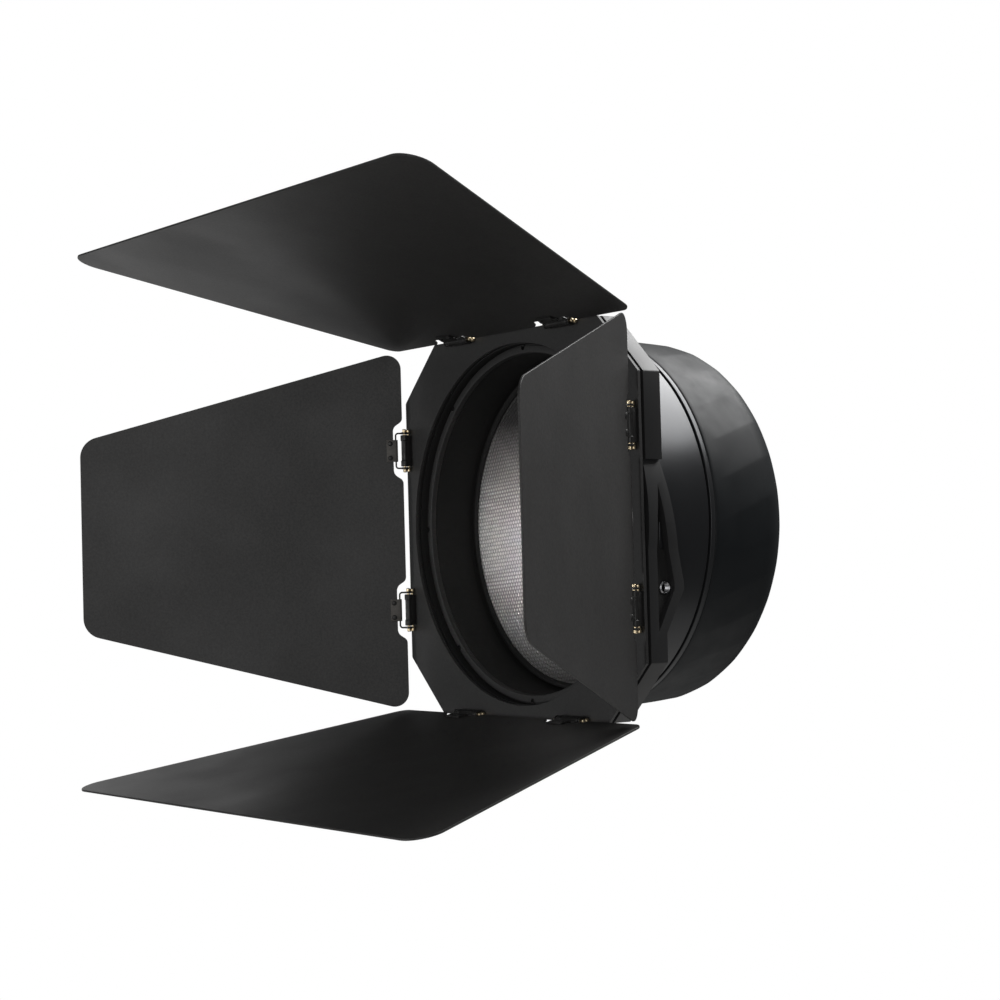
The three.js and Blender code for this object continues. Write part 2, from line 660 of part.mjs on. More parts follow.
function addSide(group, side) {
  const turn = new THREE.Group();
  turn.rotation.y = THREE.MathUtils.degToRad(side.turn);
  const hinge = new THREE.Group();
  hinge.position.set(side.axis, HINGE_AXIS_Y, 0);
  const leaf = new THREE.Group();
  leaf.rotation.z = THREE.MathUtils.degToRad(side.open - 90);
  group.add(turn);
  turn.add(hinge);
  hinge.add(leaf);
  leaf.add(mesh(`leaf_${side.name}`, leafSheet(side.leaf), MATERIALS.leaf));
  [-HINGE_OFFSET, HINGE_OFFSET].forEach((z, i) => {
    const pieces = [
      [hinge, "frame_bracket", frameBracket(), MATERIALS.blackPart],
      [hinge, "hinge_pin", hingePin(), MATERIALS.brass],
      [leaf, "leaf_clip", leafClip(), MATERIALS.blackPart],
    ];
    pieces.forEach(([parent, name, solid, material]) => {
      const piece = mesh(`${name}_${side.name}_${i + 1}`, solid, material);
      piece.position.z = z;
      parent.add(piece);
    });
  });
}

// ---- Assembly -----------------------------------------------------------------------------------

const barnDoors = new THREE.Group();
barnDoors.position.y = -SEAT_TO_PLATE;
addFrame(barnDoors);
addBarrel(barnDoors);
addRear(barnDoors);
addFocusRing(barnDoors);
addLensCarriage(barnDoors);
SIDES.forEach((side) => addSide(barnDoors, side));

export default barnDoors;
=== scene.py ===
"""Looks of the four-leaf barn door attachment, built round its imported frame. Metres, +Z up."""

import json
import math

import bmesh
import bpy
from mathutils import Matrix, Vector


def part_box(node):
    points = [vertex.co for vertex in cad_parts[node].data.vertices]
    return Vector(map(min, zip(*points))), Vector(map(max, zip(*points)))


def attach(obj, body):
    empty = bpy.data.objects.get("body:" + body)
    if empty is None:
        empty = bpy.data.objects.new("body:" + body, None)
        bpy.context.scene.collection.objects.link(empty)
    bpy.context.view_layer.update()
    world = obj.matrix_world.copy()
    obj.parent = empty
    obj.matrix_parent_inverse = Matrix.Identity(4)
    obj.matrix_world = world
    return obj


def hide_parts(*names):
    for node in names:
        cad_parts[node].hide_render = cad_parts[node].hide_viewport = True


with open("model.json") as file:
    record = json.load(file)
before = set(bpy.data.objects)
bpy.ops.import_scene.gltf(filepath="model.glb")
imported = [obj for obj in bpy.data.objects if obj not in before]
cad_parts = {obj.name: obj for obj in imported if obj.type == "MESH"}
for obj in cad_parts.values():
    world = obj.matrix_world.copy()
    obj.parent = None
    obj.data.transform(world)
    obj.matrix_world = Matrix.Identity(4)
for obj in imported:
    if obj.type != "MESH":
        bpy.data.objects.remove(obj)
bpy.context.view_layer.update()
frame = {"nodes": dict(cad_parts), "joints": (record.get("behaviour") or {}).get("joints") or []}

MM = 0.001
GAP = 0.3 * MM
WELD = 0.001 * MM  # corners closer than this are one
ARC_SHARE = 0.49  # of an edge, the most that a rounded corner takes up
ROUND_STEPS = 192  # facets round a large ring
SMALL_STEPS = 28  # facets round a pin or a rivet
FLAT_ANGLE = 8  # degrees between faces above which a sheet's shading breaks
BEVEL_ANGLE = math.radians(35)  # between faces above which a softened edge is bevelled
CELL_WAVE = 2.3 * MM / (2 * math.pi)  # of the lens's domed cells, per radian
CELL_TURN = math.radians(34)
# the lens's colour carries painted light: the reflector's light painted in, with painted shade
# towards the top and the bottom
LENS_PAINTED_SHADE_TOP = (66 * MM, -4 * MM)  # heights between which the reflector's light comes up
LENS_PAINTED_SHADE_BOTTOM = (-98 * MM, -20 * MM)

# ---- Places and sizes, read from the frame ---------------------------------


def span(node):
    """A node's first and last place along the beam axis."""
    low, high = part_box(node)
    return low.y, high.y


def radii(node):
    """A ring's bore and outside radius round the beam axis."""
    reach = [math.hypot(v.co.x, v.co.z) for v in frame["nodes"][node].data.vertices]
    return min(reach), max(reach)


FACE_Y, PLATE_BACK = span("frame_plate")
HALF_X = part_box("frame_plate")[1].x
HALF_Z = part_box("frame_plate")[1].z
CHAMFER = 34.5 * MM
CORNER_ROUND = 2 * MM
PLATE_HOLE = radii("frame_plate")[0]
BLOCK_FRONT = span("accessory_frame")[0]
DRUM_FRONT, DRUM_REAR = span("drum_shell")
BLOCK_REAR = DRUM_FRONT - GAP
BLOCK_HOLE = radii("accessory_frame")[0]
DRUM_R = radii("drum_shell")[1]
GRIP_FRONT, GRIP_SHOULDER_Y = span("focus_ring_grip")
GRIP_R = radii("focus_ring_grip")[1]
GRIP_REAR = span("focus_ring_shoulder")[1]
GRIP_RIM = radii("focus_ring_shoulder")[0]
LENS_FRONT, LENS_BACK = span("lens")
LENS_R = radii("lens")[1]
SEAT_Y = 0.0  # the frame's origin lies in the bayonet's seat

SIDES = ("right", "top", "left", "bottom")
JOINTS = {joint["name"]: joint for joint in frame["joints"]}
HINGE_OFFSET = 51 * MM
LEAF_SHEET = 1.2 * MM
LEAF_START = 1.2 * MM
LEAF_HINGE_ROUND, LEAF_FREE_ROUND = 9 * MM, 13 * MM
NOTCH_HALF = 19 * MM
NOTCH_END = 7.2 * MM
NOTCH_RAMP = 4 * MM
NOTCH_ROUND = 5 * MM
WIDE_LEAF = {"length": 203 * MM, "hinge_half": 118.5 * MM, "free_half": 192.5 * MM}
NARROW_LEAF = {"length": 205 * MM, "hinge_half": 115.2 * MM, "free_half": 60.6 * MM}
LEAF_SIZES = {"right": NARROW_LEAF, "left": NARROW_LEAF, "top": WIDE_LEAF, "bottom": WIDE_LEAF}


def columns(x, y, z, origin):
    """A frame with those axes at that origin."""
    matrix = Matrix((x, y, z)).transposed().to_4x4()
    matrix.translation = origin
    return matrix


def hinge_frame(side):
    """At a side's hinge axis: X away from the beam, Y towards the plate, Z along the axis."""
    joint = JOINTS[f"leaf_{side}_hinge"]
    origin, axis = Vector(joint["pos_m"]), Vector(joint["axis"])
    outward = Vector((origin.x, 0, origin.z)).normalized()
    return columns(outward, axis.cross(outward), axis, origin)


def leaf_frame(side):
    """As hinge_frame, with X turned to run along the leaf to its free edge."""
    hinge = hinge_frame(side)
    axis = hinge.col[2].xyz
    points = [v.co for v in frame["nodes"][f"leaf_{side}"].data.vertices]
    along = sum(points, Vector()) / len(points) - hinge.translation
    along = (along - along.project(axis)).normalized()
    return columns(along, axis.cross(along), axis, hinge.translation)


# ---- Materials -------------------------------------------------------------


class Finish:
    """One Principled material and the nodes that vary it."""

    def __init__(self, name, color, roughness, metallic=0.0, specular=0.5):
        self.material = bpy.data.materials.new(name)
        self.material.use_nodes = True
        self.material.diffuse_color = (*color, 1)
        self.tree = self.material.node_tree
        self.shader = self.tree.nodes["Principled BSDF"]
        self.shader.inputs["Base Color"].default_value = (*color, 1)
        self.shader.inputs["Roughness"].default_value = roughness
        self.shader.inputs["Metallic"].default_value = metallic
        self.shader.inputs["Specular IOR Level"].default_value = specular
        self.color = color
        self.roughness = roughness
        self.place = self.tree.nodes.new("ShaderNodeTexCoord").outputs["Object"]

    def link(self, source, target):
        self.tree.links.new(source, target)

    def noise(self, scale, detail=2.0, rough=0.5, place=None):
        node = self.tree.nodes.new("ShaderNodeTexNoise")
        node.inputs["Scale"].default_value = scale
        node.inputs["Detail"].default_value = detail
        node.inputs["Roughness"].default_value = rough
        self.link(place or self.place, node.inputs["Vector"])
        return node.outputs["Fac"]

    def spread(self, value, low, high, from_low=0.3, from_high=0.7):
        node = self.tree.nodes.new("ShaderNodeMapRange")
        self.link(value, node.inputs["Value"])
        node.inputs["From Min"].default_value = from_low
        node.inputs["From Max"].default_value = from_high
        node.inputs["To Min"].default_value = low
        node.inputs["To Max"].default_value = high
        return node.outputs["Result"]

    def math(self, operation, a, b):
        node = self.tree.nodes.new("ShaderNodeMath")
        node.operation = operation
        for socket, value in zip(node.inputs, (a, b)):
            if isinstance(value, (int, float)):
                socket.default_value = value
            else:
                self.link(value, socket)
        return node.outputs["Value"]

    def tint(self, factor, low, high):
        """The base colour runs from low to high times itself with the factor."""
        node = self.tree.nodes.new("ShaderNodeMix")
        node.data_type = "RGBA"
        self.link(factor, node.inputs["Factor"])
        node.inputs["A"].default_value = (*[c * low for c in self.color], 1)
        node.inputs["B"].default_value = (*[c * high for c in self.color], 1)
        self.link(node.outputs["Result"], self.shader.inputs["Base Color"])

    def vary_roughness(self, factor, amount):
        low, high = self.roughness - amount, self.roughness + amount
        self.link(self.spread(factor, low, high), self.shader.inputs["Roughness"])

    def bump(self, height, strength, distance):
        node = self.tree.nodes.new("ShaderNodeBump")
        node.inputs["Strength"].default_value = strength
        node.inputs["Distance"].default_value = distance
        self.link(height, node.inputs["Height"])
        self.link(node.outputs["Normal"], self.shader.inputs["Normal"])


def powder_coat(name, color, roughness, grain=1.0):
    """Baked powder paint: fine speckle, orange peel, and slow changes of sheen."""
    finish = Finish(name, color, roughness)
    speckle = finish.noise(750, detail=3.0, rough=0.75)
    finish.tint(finish.spread(speckle, 0.0, 1.0, 0.36, 0.66), 1 - 0.36 * grain, 1 + 0.4 * grain)
    finish.vary_roughness(finish.noise(16, detail=4.0), 0.045)
    peel = finish.math("ADD", finish.noise(620, detail=1.0), finish.math("MULTIPLY", speckle, 0.8))
    finish.bump(peel, 0.22 * grain, 0.12 * MM)
    return finish.material


def satin_paint(name, color, roughness, metallic, specular=0.5):
    """Smooth spray paint on a turned shell, with a little unevenness in its gloss."""
    finish = Finish(name, color, roughness, metallic, specular)
    finish.tint(finish.noise(900, detail=2.0), 0.93, 1.07)
    finish.vary_roughness(finish.noise(30, detail=5.0), 0.03)
    finish.bump(finish.noise(850, detail=2.0), 0.05, 0.08 * MM)
    return finish.material


def dead_black(name):
    """Flocked black inside the barrel, with faint turned steps along the beam."""
    finish = Finish(name, (0.0125, 0.0123, 0.012), 0.7, specular=0.35)
    finish.tint(finish.noise(1700, detail=2.0), 0.75, 1.3)
    finish.vary_roughness(finish.noise(40, detail=3.0), 0.06)
    finish.bump(finish.noise(1500, detail=2.0), 0.3, 0.1 * MM)
    return finish.material


def moulded_rubber(name, color):
    """Soft-touch rubber: dull, blue-grey, with fine pitting and dusty patches."""
    finish = Finish(name, color, 0.5, specular=0.19)
    patches = finish.noise(22, detail=6.0, rough=0.6)
    finish.tint(patches, 0.82, 1.22)
    finish.vary_roughness(finish.noise(60, detail=4.0), 0.06)
    finish.bump(finish.noise(1900, detail=2.0), 0.16, 0.08 * MM)
    return finish.material


def turned_metal(name, color, roughness, axis_scale=(40, 2600, 40)):
    """Machined metal: fine tool lines across the turning axis and small stains."""
    finish = Finish(name, color, roughness, metallic=1.0)
    stretch = finish.tree.nodes.new("ShaderNodeMapping")
    stretch.inputs["Scale"].default_value = axis_scale
    finish.link(finish.place, stretch.inputs["Vector"])
    lines = finish.noise(1.0, detail=3.0, place=stretch.outputs["Vector"])
    finish.tint(finish.noise(320, detail=4.0), 0.86, 1.1)
    finish.vary_roughness(finish.noise(240, detail=3.0), 0.08)
    finish.bump(lines, 0.12, 0.05 * MM)
    return finish.material


def black_oxide(name, color=(0.02, 0.0195, 0.019), roughness=0.42):
    """Blackened small metalwork, rubbed a little lighter in places."""
    finish = Finish(name, color, roughness, metallic=0.35)
    finish.tint(finish.noise(420, detail=5.0, rough=0.65), 0.7, 1.5)
    finish.vary_roughness(finish.noise(300, detail=3.0), 0.09)
    finish.bump(finish.noise(1400, detail=2.0), 0.12, 0.06 * MM)
    return finish.material


def lens_glass(name):
    """Moulded lens: small domed cells all over, with painted light in its colour: a painted sparkle
    on each cell, and the reflector's light painted in, fading to painted shade at the top and the
    bottom.
    """
    finish = Finish(name, (1.0, 0.98, 0.96), 0.36, metallic=0.25, specular=0.6)
    split = finish.tree.nodes.new("ShaderNodeSeparateXYZ")
    finish.link(finish.place, split.inputs["Vector"])
    x, z = split.outputs["X"], split.outputs["Z"]
    domes = 0
    for i in range(3):
        turn = CELL_TURN + i * math.pi / 3
        across = finish.math("ADD", finish.math("MULTIPLY", x, math.cos(turn) / CELL_WAVE),
                             finish.math("MULTIPLY", z, math.sin(turn) / CELL_WAVE))
        domes = finish.math("ADD", domes, finish.math("COSINE", across, 0))
    # painted sparkle: the colour is brighter on each cell's crest
    cells = finish.spread(domes, 0.4, 1.45, -1.5, 2.6)
    # painted shade at the top and the bottom of the lens, with the reflector's painted light
    # between
    painted_shade_top = finish.spread(z, 0.0, 1.0, *LENS_PAINTED_SHADE_TOP)
    painted_shade_bottom = finish.spread(z, 0.0, 1.0, *LENS_PAINTED_SHADE_BOTTOM)
    painted_reflector_light = finish.math("MULTIPLY", painted_shade_top, painted_shade_bottom)
    finish.tint(finish.math("MULTIPLY", cells, painted_reflector_light), 0.07, 1.0)
    finish.bump(domes, 1.0, 0.055 * MM)
    return finish.material


MATERIALS = {
    "leaf": powder_coat("leaf_powder_coat", (0.024, 0.0232, 0.0225), 0.5),
    "plate": powder_coat("plate_powder_coat", (0.0185, 0.0182, 0.018), 0.54, grain=0.5),
    "block": satin_paint("block_satin_paint", (0.023, 0.023, 0.0235), 0.44, 0.1, 0.4),
    "drum": satin_paint("drum_satin_paint", (0.025, 0.026, 0.028), 0.31, 0.55, 0.56),
    # the barrel's dead black is also painted on the block and the front ring as shade
    "baffle": dead_black("baffle_dead_black_and_painted_shade"),
    # the hinge black also stands as painted shade on the tabs of the top, right and bottom leaves
    "black": black_oxide("hinge_black_oxide_and_tab_painted_shade"),
    "gunmetal": black_oxide("tab_gunmetal", (0.085, 0.079, 0.072), 0.45),
    "trim": satin_paint("seam_ring_satin", (0.032, 0.033, 0.035), 0.34, 0.55),
    "rubber": moulded_rubber("grip_rubber", (0.0078, 0.0092, 0.0104)),
    "brass": turned_metal("hinge_pin_brass", (0.8, 0.66, 0.44), 0.27, (900, 900, 900)),
    "steel": turned_metal("rear_turned_steel", (0.42, 0.42, 0.43), 0.32),
    "lens": lens_glass("lens_moulded_glass"),
}

# ---- Mesh helpers ----------------------------------------------------------


def link_object(name, data):
    """A new object in the scene for that mesh, curve, light or camera."""
    made = bpy.data.objects.new(name, data)
    bpy.context.scene.collection.objects.link(made)
    return made


def add_piece(name, mesh, material, body, slot, *nodes, smooth=30):
    """A mesh as a visible piece, smooth up to that angle in degrees between its faces.

    It rides on a body, takes that material's finish, and stands for those CAD nodes. The slot is
    not used.
    """
    mesh.name = name
    mesh.materials.clear()
    mesh.materials.append(MATERIALS[material])
    mesh.polygons.foreach_set("use_smooth", [True] * len(mesh.polygons))
    mesh.set_sharp_from_angle(angle=math.radians(smooth))
    piece = link_object(name, mesh)
    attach(piece, body)
    if nodes:
        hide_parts(*nodes)
    return piece


def from_bmesh(bm):
    """A mesh with its faces pointing out."""
    bmesh.ops.recalc_face_normals(bm, faces=bm.faces)
    mesh = bpy.data.meshes.new("mesh")
    bm.to_mesh(mesh)
    bm.free()
    return mesh


def worked_out(holder):
    """The mesh of an object with its bevels and modifiers applied. The object goes."""
    bpy.context.view_layer.update()
    graph = bpy.context.evaluated_depsgraph_get()
    mesh = bpy.data.meshes.new_from_object(holder.evaluated_get(graph))
    bpy.data.objects.remove(holder)
    return mesh


def from_curve(curve, loops, closed):
    """The mesh of a bevelled curve through the points of each loop, with its seams welded."""
    for loop in loops:
        spline = curve.splines.new("POLY")
        spline.points.add(len(loop) - 1)
        spline.use_cyclic_u = closed
        for point, place in zip(spline.points, loop):
            point.co = (*place, 1)
    mesh = worked_out(link_object("holder", curve))
    bpy.data.curves.remove(curve)
    bm = bmesh.new()
    bm.from_mesh(mesh)
    bpy.data.meshes.remove(mesh)
    bmesh.ops.remove_doubles(bm, verts=bm.verts, dist=WELD)
    return from_bmesh(bm)


def skin(bm, rings, closed=True):
    """Faces between each ring of corners and the next, and round to the first again."""
    count = len(rings[0])
    for this, after in zip(rings, rings[1:] + rings[:1]):
        for j in range(count if closed else count - 1):
            k = (j + 1) % count
            bm.faces.new((this[j], this[k], after[k], after[j]))


def rounded(corners, steps=4, closed=True):
    """A polyline through corners (a, b, radius), each turned over an arc of its radius."""
    points = []
    count = len(corners)
    for i, (a, b, radius) in enumerate(corners):
        here = Vector((a, b))
        if radius <= 0 or (not closed and i in (0, count - 1)):
            points.append(here)
            continue
        before = Vector(corners[i - 1][:2]) - here
        after = Vector(corners[(i + 1) % count][:2]) - here
        half = before.angle(after) / 2
        reach = min(radius / math.tan(half), before.length * ARC_SHARE, after.length * ARC_SHARE)
        radius = reach * math.tan(half)
        middle = (before.normalized() + after.normalized()).normalized()
        centre = here + middle * (radius / math.sin(half))
        start = here + before.normalized() * reach - centre
        end = here + after.normalized() * reach - centre
        turn = start.angle_signed(end)
        for k in range(steps + 1):
            points.append(centre + Matrix.Rotation(-turn * k / steps, 2) @ start)
    return points


def circle(radius, x=0.0, y=0.0, steps=ROUND_STEPS):
    """A polyline round (x, y)."""
    return [
        Vector((x + radius * math.cos(2 * math.pi * i / steps),
                y + radius * math.sin(2 * math.pi * i / steps)))
        for i in range(steps)
    ]


def turned(profile, steps=ROUND_STEPS, closed=True):
    """A mesh turned about the beam axis from a polyline of (radius, y)."""
    bm = bmesh.new()
    rings = []
    for i in range(steps):
        a = 2 * math.pi * i / steps
        rings.append([bm.verts.new((r * math.cos(a), y, r * math.sin(a))) for r, y in profile])
    skin(bm, rings, closed)
    bmesh.ops.remove_doubles(bm, verts=bm.verts, dist=WELD)
    return from_bmesh(bm)


def ring_profile(r_in, r_out, y0, y1, edge):
    """A plain ring's section, with its edges rounded."""
    return rounded([(r_in, y0, edge), (r_out, y0, edge), (r_out, y1, edge), (r_in, y1, edge)])


def slab(outline, holes, thickness, edge, edge_steps=2):
    """A sheet in the XY plane, centred on it, with rounded edges and with holes."""
    curve = bpy.data.curves.new("outline", "CURVE")
    curve.dimensions = "2D"
    curve.fill_mode = "BOTH"
    curve.extrude = thickness / 2 - edge
    curve.bevel_depth = edge
    curve.bevel_resolution = edge_steps
    curve.offset = -edge
    return from_curve(curve, [[(*point, 0) for point in loop] for loop in (outline, *holes)], True)


def flat_in_xz(mesh, y):
    """Stands a slab up so that its X and Y lie along X and Z, centred at y."""
    turned_up = columns(Vector((1, 0, 0)), Vector((0, 0, 1)), Vector((0, -1, 0)), Vector((0, y, 0)))
    mesh.transform(turned_up)
    return mesh


def boxed(low, high, edge):
    """A block between two corners, with its edges rounded."""
    bm = bmesh.new()
    size = Vector(high) - Vector(low)
    middle = (Vector(high) + Vector(low)) / 2
    matrix = Matrix.Translation(middle) @ Matrix.Diagonal((*size, 1))
    bmesh.ops.create_cube(bm, size=1, matrix=matrix)
    bmesh.ops.bevel(bm, geom=list(bm.edges), offset=edge, segments=2, profile=0.5, affect="EDGES")
    return from_bmesh(bm)


def rod(start, end, profile, steps=SMALL_STEPS):
    """A turned piece on the line from start to end: profile is (share of the length, radius)."""
    start, end = Vector(start), Vector(end)
    axis = (end - start).normalized()
    turn = axis.to_track_quat("Y", "Z").to_matrix().to_4x4()
    length = (end - start).length
    mesh = turned([(radius, share * length) for share, radius in profile], steps, closed=False)
    mesh.transform(Matrix.Translation(start) @ turn)
    return mesh


def plain_rod(start, end, radius, edge=0.0):
    """A straight rod with its two ends' edges rounded."""
    bevel = edge / (Vector(end) - Vector(start)).length
    profile = [(0, 0), (0, radius - edge)]
    profile += [(bevel * 0.3, radius - edge * 0.3), (bevel, radius), (1 - bevel, radius),
                (1 - bevel * 0.3, radius - edge * 0.3), (1, radius - edge), (1, 0)]
    return rod(start, end, profile)


def wire(points, radius):
    """A round wire along a polyline, with closed ends."""
    curve = bpy.data.curves.new("wire", "CURVE")
    curve.dimensions = "3D"
    curve.bevel_depth = radius
    curve.bevel_resolution = 3
    curve.use_fill_caps = True
    return from_curve(curve, [points], False)


def together(*meshes):
    """One mesh from several, which may touch or cross."""
    bm = bmesh.new()
    for mesh in meshes:
        bm.from_mesh(mesh)
        bpy.data.meshes.remove(mesh)
    mesh = bpy.data.meshes.new("mesh")
    bm.to_mesh(mesh)
    bm.free()
    return mesh


def boolean(mesh, tool, operation):
    """The exact union, difference or intersection of two closed meshes."""
    holder, cutter = link_object("holder", mesh), link_object("cutter", tool)
    modifier = holder.modifiers.new("boolean", "BOOLEAN")
    modifier.operation = operation
    modifier.solver = "EXACT"
    modifier.use_self = True
    modifier.object = cutter
    result = worked_out(holder)
    bpy.data.objects.remove(cutter)
    for used in (mesh, tool):
        bpy.data.meshes.remove(used)
    return result


def softened(mesh, width, steps):
    """The mesh with its sharp edges bevelled."""
    holder = link_object("holder", mesh)
    modifier = holder.modifiers.new("bevel", "BEVEL")
    modifier.width = width
    modifier.segments = steps
    modifier.limit_method = "ANGLE"
    modifier.angle_limit = BEVEL_ANGLE
    modifier.harden_normals = False
    result = worked_out(holder)
    bpy.data.meshes.remove(mesh)
    return result


def around_beam(make, count, start=0.0):
    """Copies of a mesh, evenly round the beam axis, as one mesh."""
    meshes = []
    for i in range(count):
        mesh = make()
        mesh.transform(Matrix.Rotation(math.radians(start) + 2 * math.pi * i / count, 4, "Y"))
        meshes.append(mesh)
    return together(*meshes)


# ---- Frame: plate, spacer and block ----------------------------------------


def octagon(right_side=()):
    """The frame's outline, with any further points up its right side."""
    x, z, c, r = HALF_X, HALF_Z, CHAMFER, CORNER_ROUND
    return rounded([
        (x, -z + c, r), *right_side, (x, z - c, r), (x - c, z, r), (-x + c, z, r),
        (-x, z - c, r), (-x, -z + c, r), (-x + c, -z, r), (x - c, -z, r),
    ])


def make_frame_plate():
    thickness = PLATE_BACK - FACE_Y
    mesh = slab(octagon(), [circle(PLATE_HOLE, steps=2 * ROUND_STEPS)], thickness, 0.2 * MM)
    flat_in_xz(mesh, FACE_Y + thickness / 2)
    add_piece("frame_plate_sheet", mesh, "plate", "root", "frame_sheet", "frame_plate",
              smooth=FLAT_ANGLE)


def make_spacer_ring():
    r_in, r_out = radii("spacer_ring")
    mesh = turned(ring_profile(r_in, r_out, *span("spacer_ring"), 0.4 * MM))
    add_piece("spacer_ring_turned", mesh, "baffle", "root", "black_metal", "spacer_ring")


LUG_TOP, LUG_TIP, LUG_END = 32 * MM, -39 * MM, -65.3 * MM
LUG_TIP_Y = span("accessory_frame")[1]
LUG_TIP_HALF = 2 * MM
LUG_WALL = 7 * MM
LUG_ROOT = 6 * MM  # how far it reaches in under the pocket's floor
LUG_OVERLAP = 4 * MM  # of its root with the block
BULGE_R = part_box("accessory_frame")[1].x
BULGE_STEPS = 24
POCKET_FLOOR = 112 * MM
POCKET_FRONT = FACE_Y + 10.3 * MM
POCKET_TOP = (FACE_Y + 12 * MM, 18 * MM)
SHARP = 0.001 * MM  # edge of a slab that is left sharp for a boolean
INSERT_PIT = 9 * MM  # of the hole bored for the insert
INSERT_ROOM = 0.2 * MM


def block_outline():
    """The octagon, whose right side steps in and then bulges round the beam."""
    first = -math.acos(HALF_X / BULGE_R)
    last = math.asin(LUG_TOP / BULGE_R)
    arc = [first + (last - first) * i / BULGE_STEPS for i in range(BULGE_STEPS + 1)]
    bulge = [(BULGE_R * math.cos(a), BULGE_R * math.sin(a), 0) for a in arc]
    return octagon([*bulge, (HALF_X, LUG_TOP, 0)])


def side_prism(points, x0, x1):
    """A prism on the right face from an outline of (y, z) points."""
    mesh = slab(points, [], x1 - x0, SHARP, 0)
    mesh.transform(columns(Vector((0, 1, 0)), Vector((0, 0, 1)), Vector((1, 0, 0)),
                           Vector(((x0 + x1) / 2, 0, 0))))
    return mesh


def closed_cylinder(radius, y0, y1):
    """A solid disc or rod round the beam axis."""
    return turned([(0, y0), (radius, y0), (radius, y1), (0, y1)], closed=False)


def paint_shade_black(piece, shaded_face):
    """Faces whose corners pass that test take the barrel's dead black, as painted shade."""
    piece.data.materials.append(MATERIALS["baffle"])
    for face in piece.data.polygons:
        if shaded_face([piece.data.vertices[i].co for i in face.vertices]):
            face.material_index = 1


def in_bore_or_pocket(corners):
    """Whether a face of the block lies in its bore or on its pocket's floor."""
    in_bore = max(math.hypot(p.x, p.z) for p in corners) < BLOCK_HOLE + 0.8 * MM
    return in_bore or max(abs(p.x - POCKET_FLOOR) for p in corners) < 0.1 * MM


def lug_mesh():
    """A pointed prism behind the block, kept inside its outline and clear of the drum."""
    root = BLOCK_REAR - LUG_OVERLAP
    lug = side_prism([
        (root, LUG_TOP - 2 * MM), (root, LUG_END + 2 * MM),
        (BLOCK_REAR, LUG_END), (LUG_TIP_Y, LUG_TIP - LUG_TIP_HALF),
        (LUG_TIP_Y, LUG_TIP + LUG_TIP_HALF), (BLOCK_REAR, LUG_TOP),
    ], POCKET_FLOOR - LUG_ROOT, BULGE_R + 1 * MM)
    reach = LUG_TIP_Y - BLOCK_REAR + 2 * LUG_OVERLAP
    within = slab(block_outline(), [], reach, 0.01 * MM, 0)
    flat_in_xz(within, LUG_TIP_Y + 2 * MM - reach / 2)
    drum = closed_cylinder(DRUM_R + 0.5 * MM, BLOCK_REAR - SHARP, LUG_TIP_Y + 5 * MM)
    bore = closed_cylinder(BLOCK_HOLE, BLOCK_REAR - 6 * MM, BLOCK_REAR + 1 * MM)
    lug = boolean(lug, within, "INTERSECT")
    return boolean(boolean(lug, drum, "DIFFERENCE"), bore, "DIFFERENCE")


def pocket_mesh():
    """The hollow of the lug, open to the right, which follows its edges a wall's width inside."""
    return side_prism([
        POCKET_TOP, (POCKET_FRONT, 0), (POCKET_FRONT, LUG_END + 1 * MM),
        (LUG_TIP_Y - LUG_WALL, LUG_TIP - LUG_TIP_HALF),
        (LUG_TIP_Y - LUG_WALL, LUG_TIP + LUG_TIP_HALF),
    ], POCKET_FLOOR, BULGE_R + 1 * MM)


def insert_hole_mesh():
    """The round hole in the pocket's floor that the insert sits in."""
    low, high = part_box("lock_screw_insert")
    middle = (low + high) / 2
    return plain_rod((POCKET_FLOOR - INSERT_PIT, middle.y, middle.z),
                     (POCKET_FLOOR + 1 * MM, middle.y, middle.z),
                     (high.z - low.z) / 2 + INSERT_ROOM)


def make_accessory_frame():
    depth = BLOCK_REAR - BLOCK_FRONT
    block = slab(block_outline(), [circle(BLOCK_HOLE)], depth, 0.01 * MM, 0)
    flat_in_xz(block, BLOCK_FRONT + depth / 2)
    block = boolean(block, lug_mesh(), "UNION")
    block = boolean(block, pocket_mesh(), "DIFFERENCE")
    block = softened(boolean(block, insert_hole_mesh(), "DIFFERENCE"), 0.5 * MM, 3)
    piece = add_piece("accessory_frame_block", block, "block", "root", "frame_block",
                      "accessory_frame", smooth=25)
    # the bore and the pocket's floor are painted black for the shade that falls in them
    paint_shade_black(piece, in_bore_or_pocket)


INSERT_BORE = 2.6 * MM
THREAD_PITCH = 0.5 * MM
THREAD_DEPTH = 0.25 * MM
THREAD_START = 0.86  # share of the insert's length


def make_lock_insert():
    """The threaded bush, turned as one section with the thread's ridges in its bore."""
    low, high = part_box("lock_screw_insert")
    y, z = (low.y + high.y) / 2, (low.z + high.z) / 2
    outer = (high.z - low.z) / 2
    length = high.x - low.x
    profile = [(0, INSERT_BORE), (0, outer - 0.3 * MM), (0.08, outer), (THREAD_START, outer),
               (1, outer - 0.5 * MM), (1, INSERT_BORE + 0.5 * MM), (0.9, INSERT_BORE)]
    for i in range(int(length / THREAD_PITCH) - 1):
        share = THREAD_START - (i + 0.5) * THREAD_PITCH / length
        profile += [(share, INSERT_BORE + THREAD_DEPTH),
                    (share - 0.5 * THREAD_PITCH / length, INSERT_BORE)]
    mesh = rod((low.x, y, z), (high.x, y, z), profile + profile[:1], 40)
    add_piece("lock_insert_threaded", mesh, "steel", "root", "steel", "lock_screw_insert")


# ---- Barrel ----------------------------------------------------------------

SLEEVE_IN = 104.8 * MM
FRONT_RING_STEP = 1.6 * MM  # from its face back to the step out to the block's bore
FRONT_RING_THICK = 3.7 * MM
NOTCH_R = 1.7 * MM
NOTCH_DEPTH = 2.4 * MM
NOTCH_INSET = 0.7 * MM
NOTCH_COUNT = 8


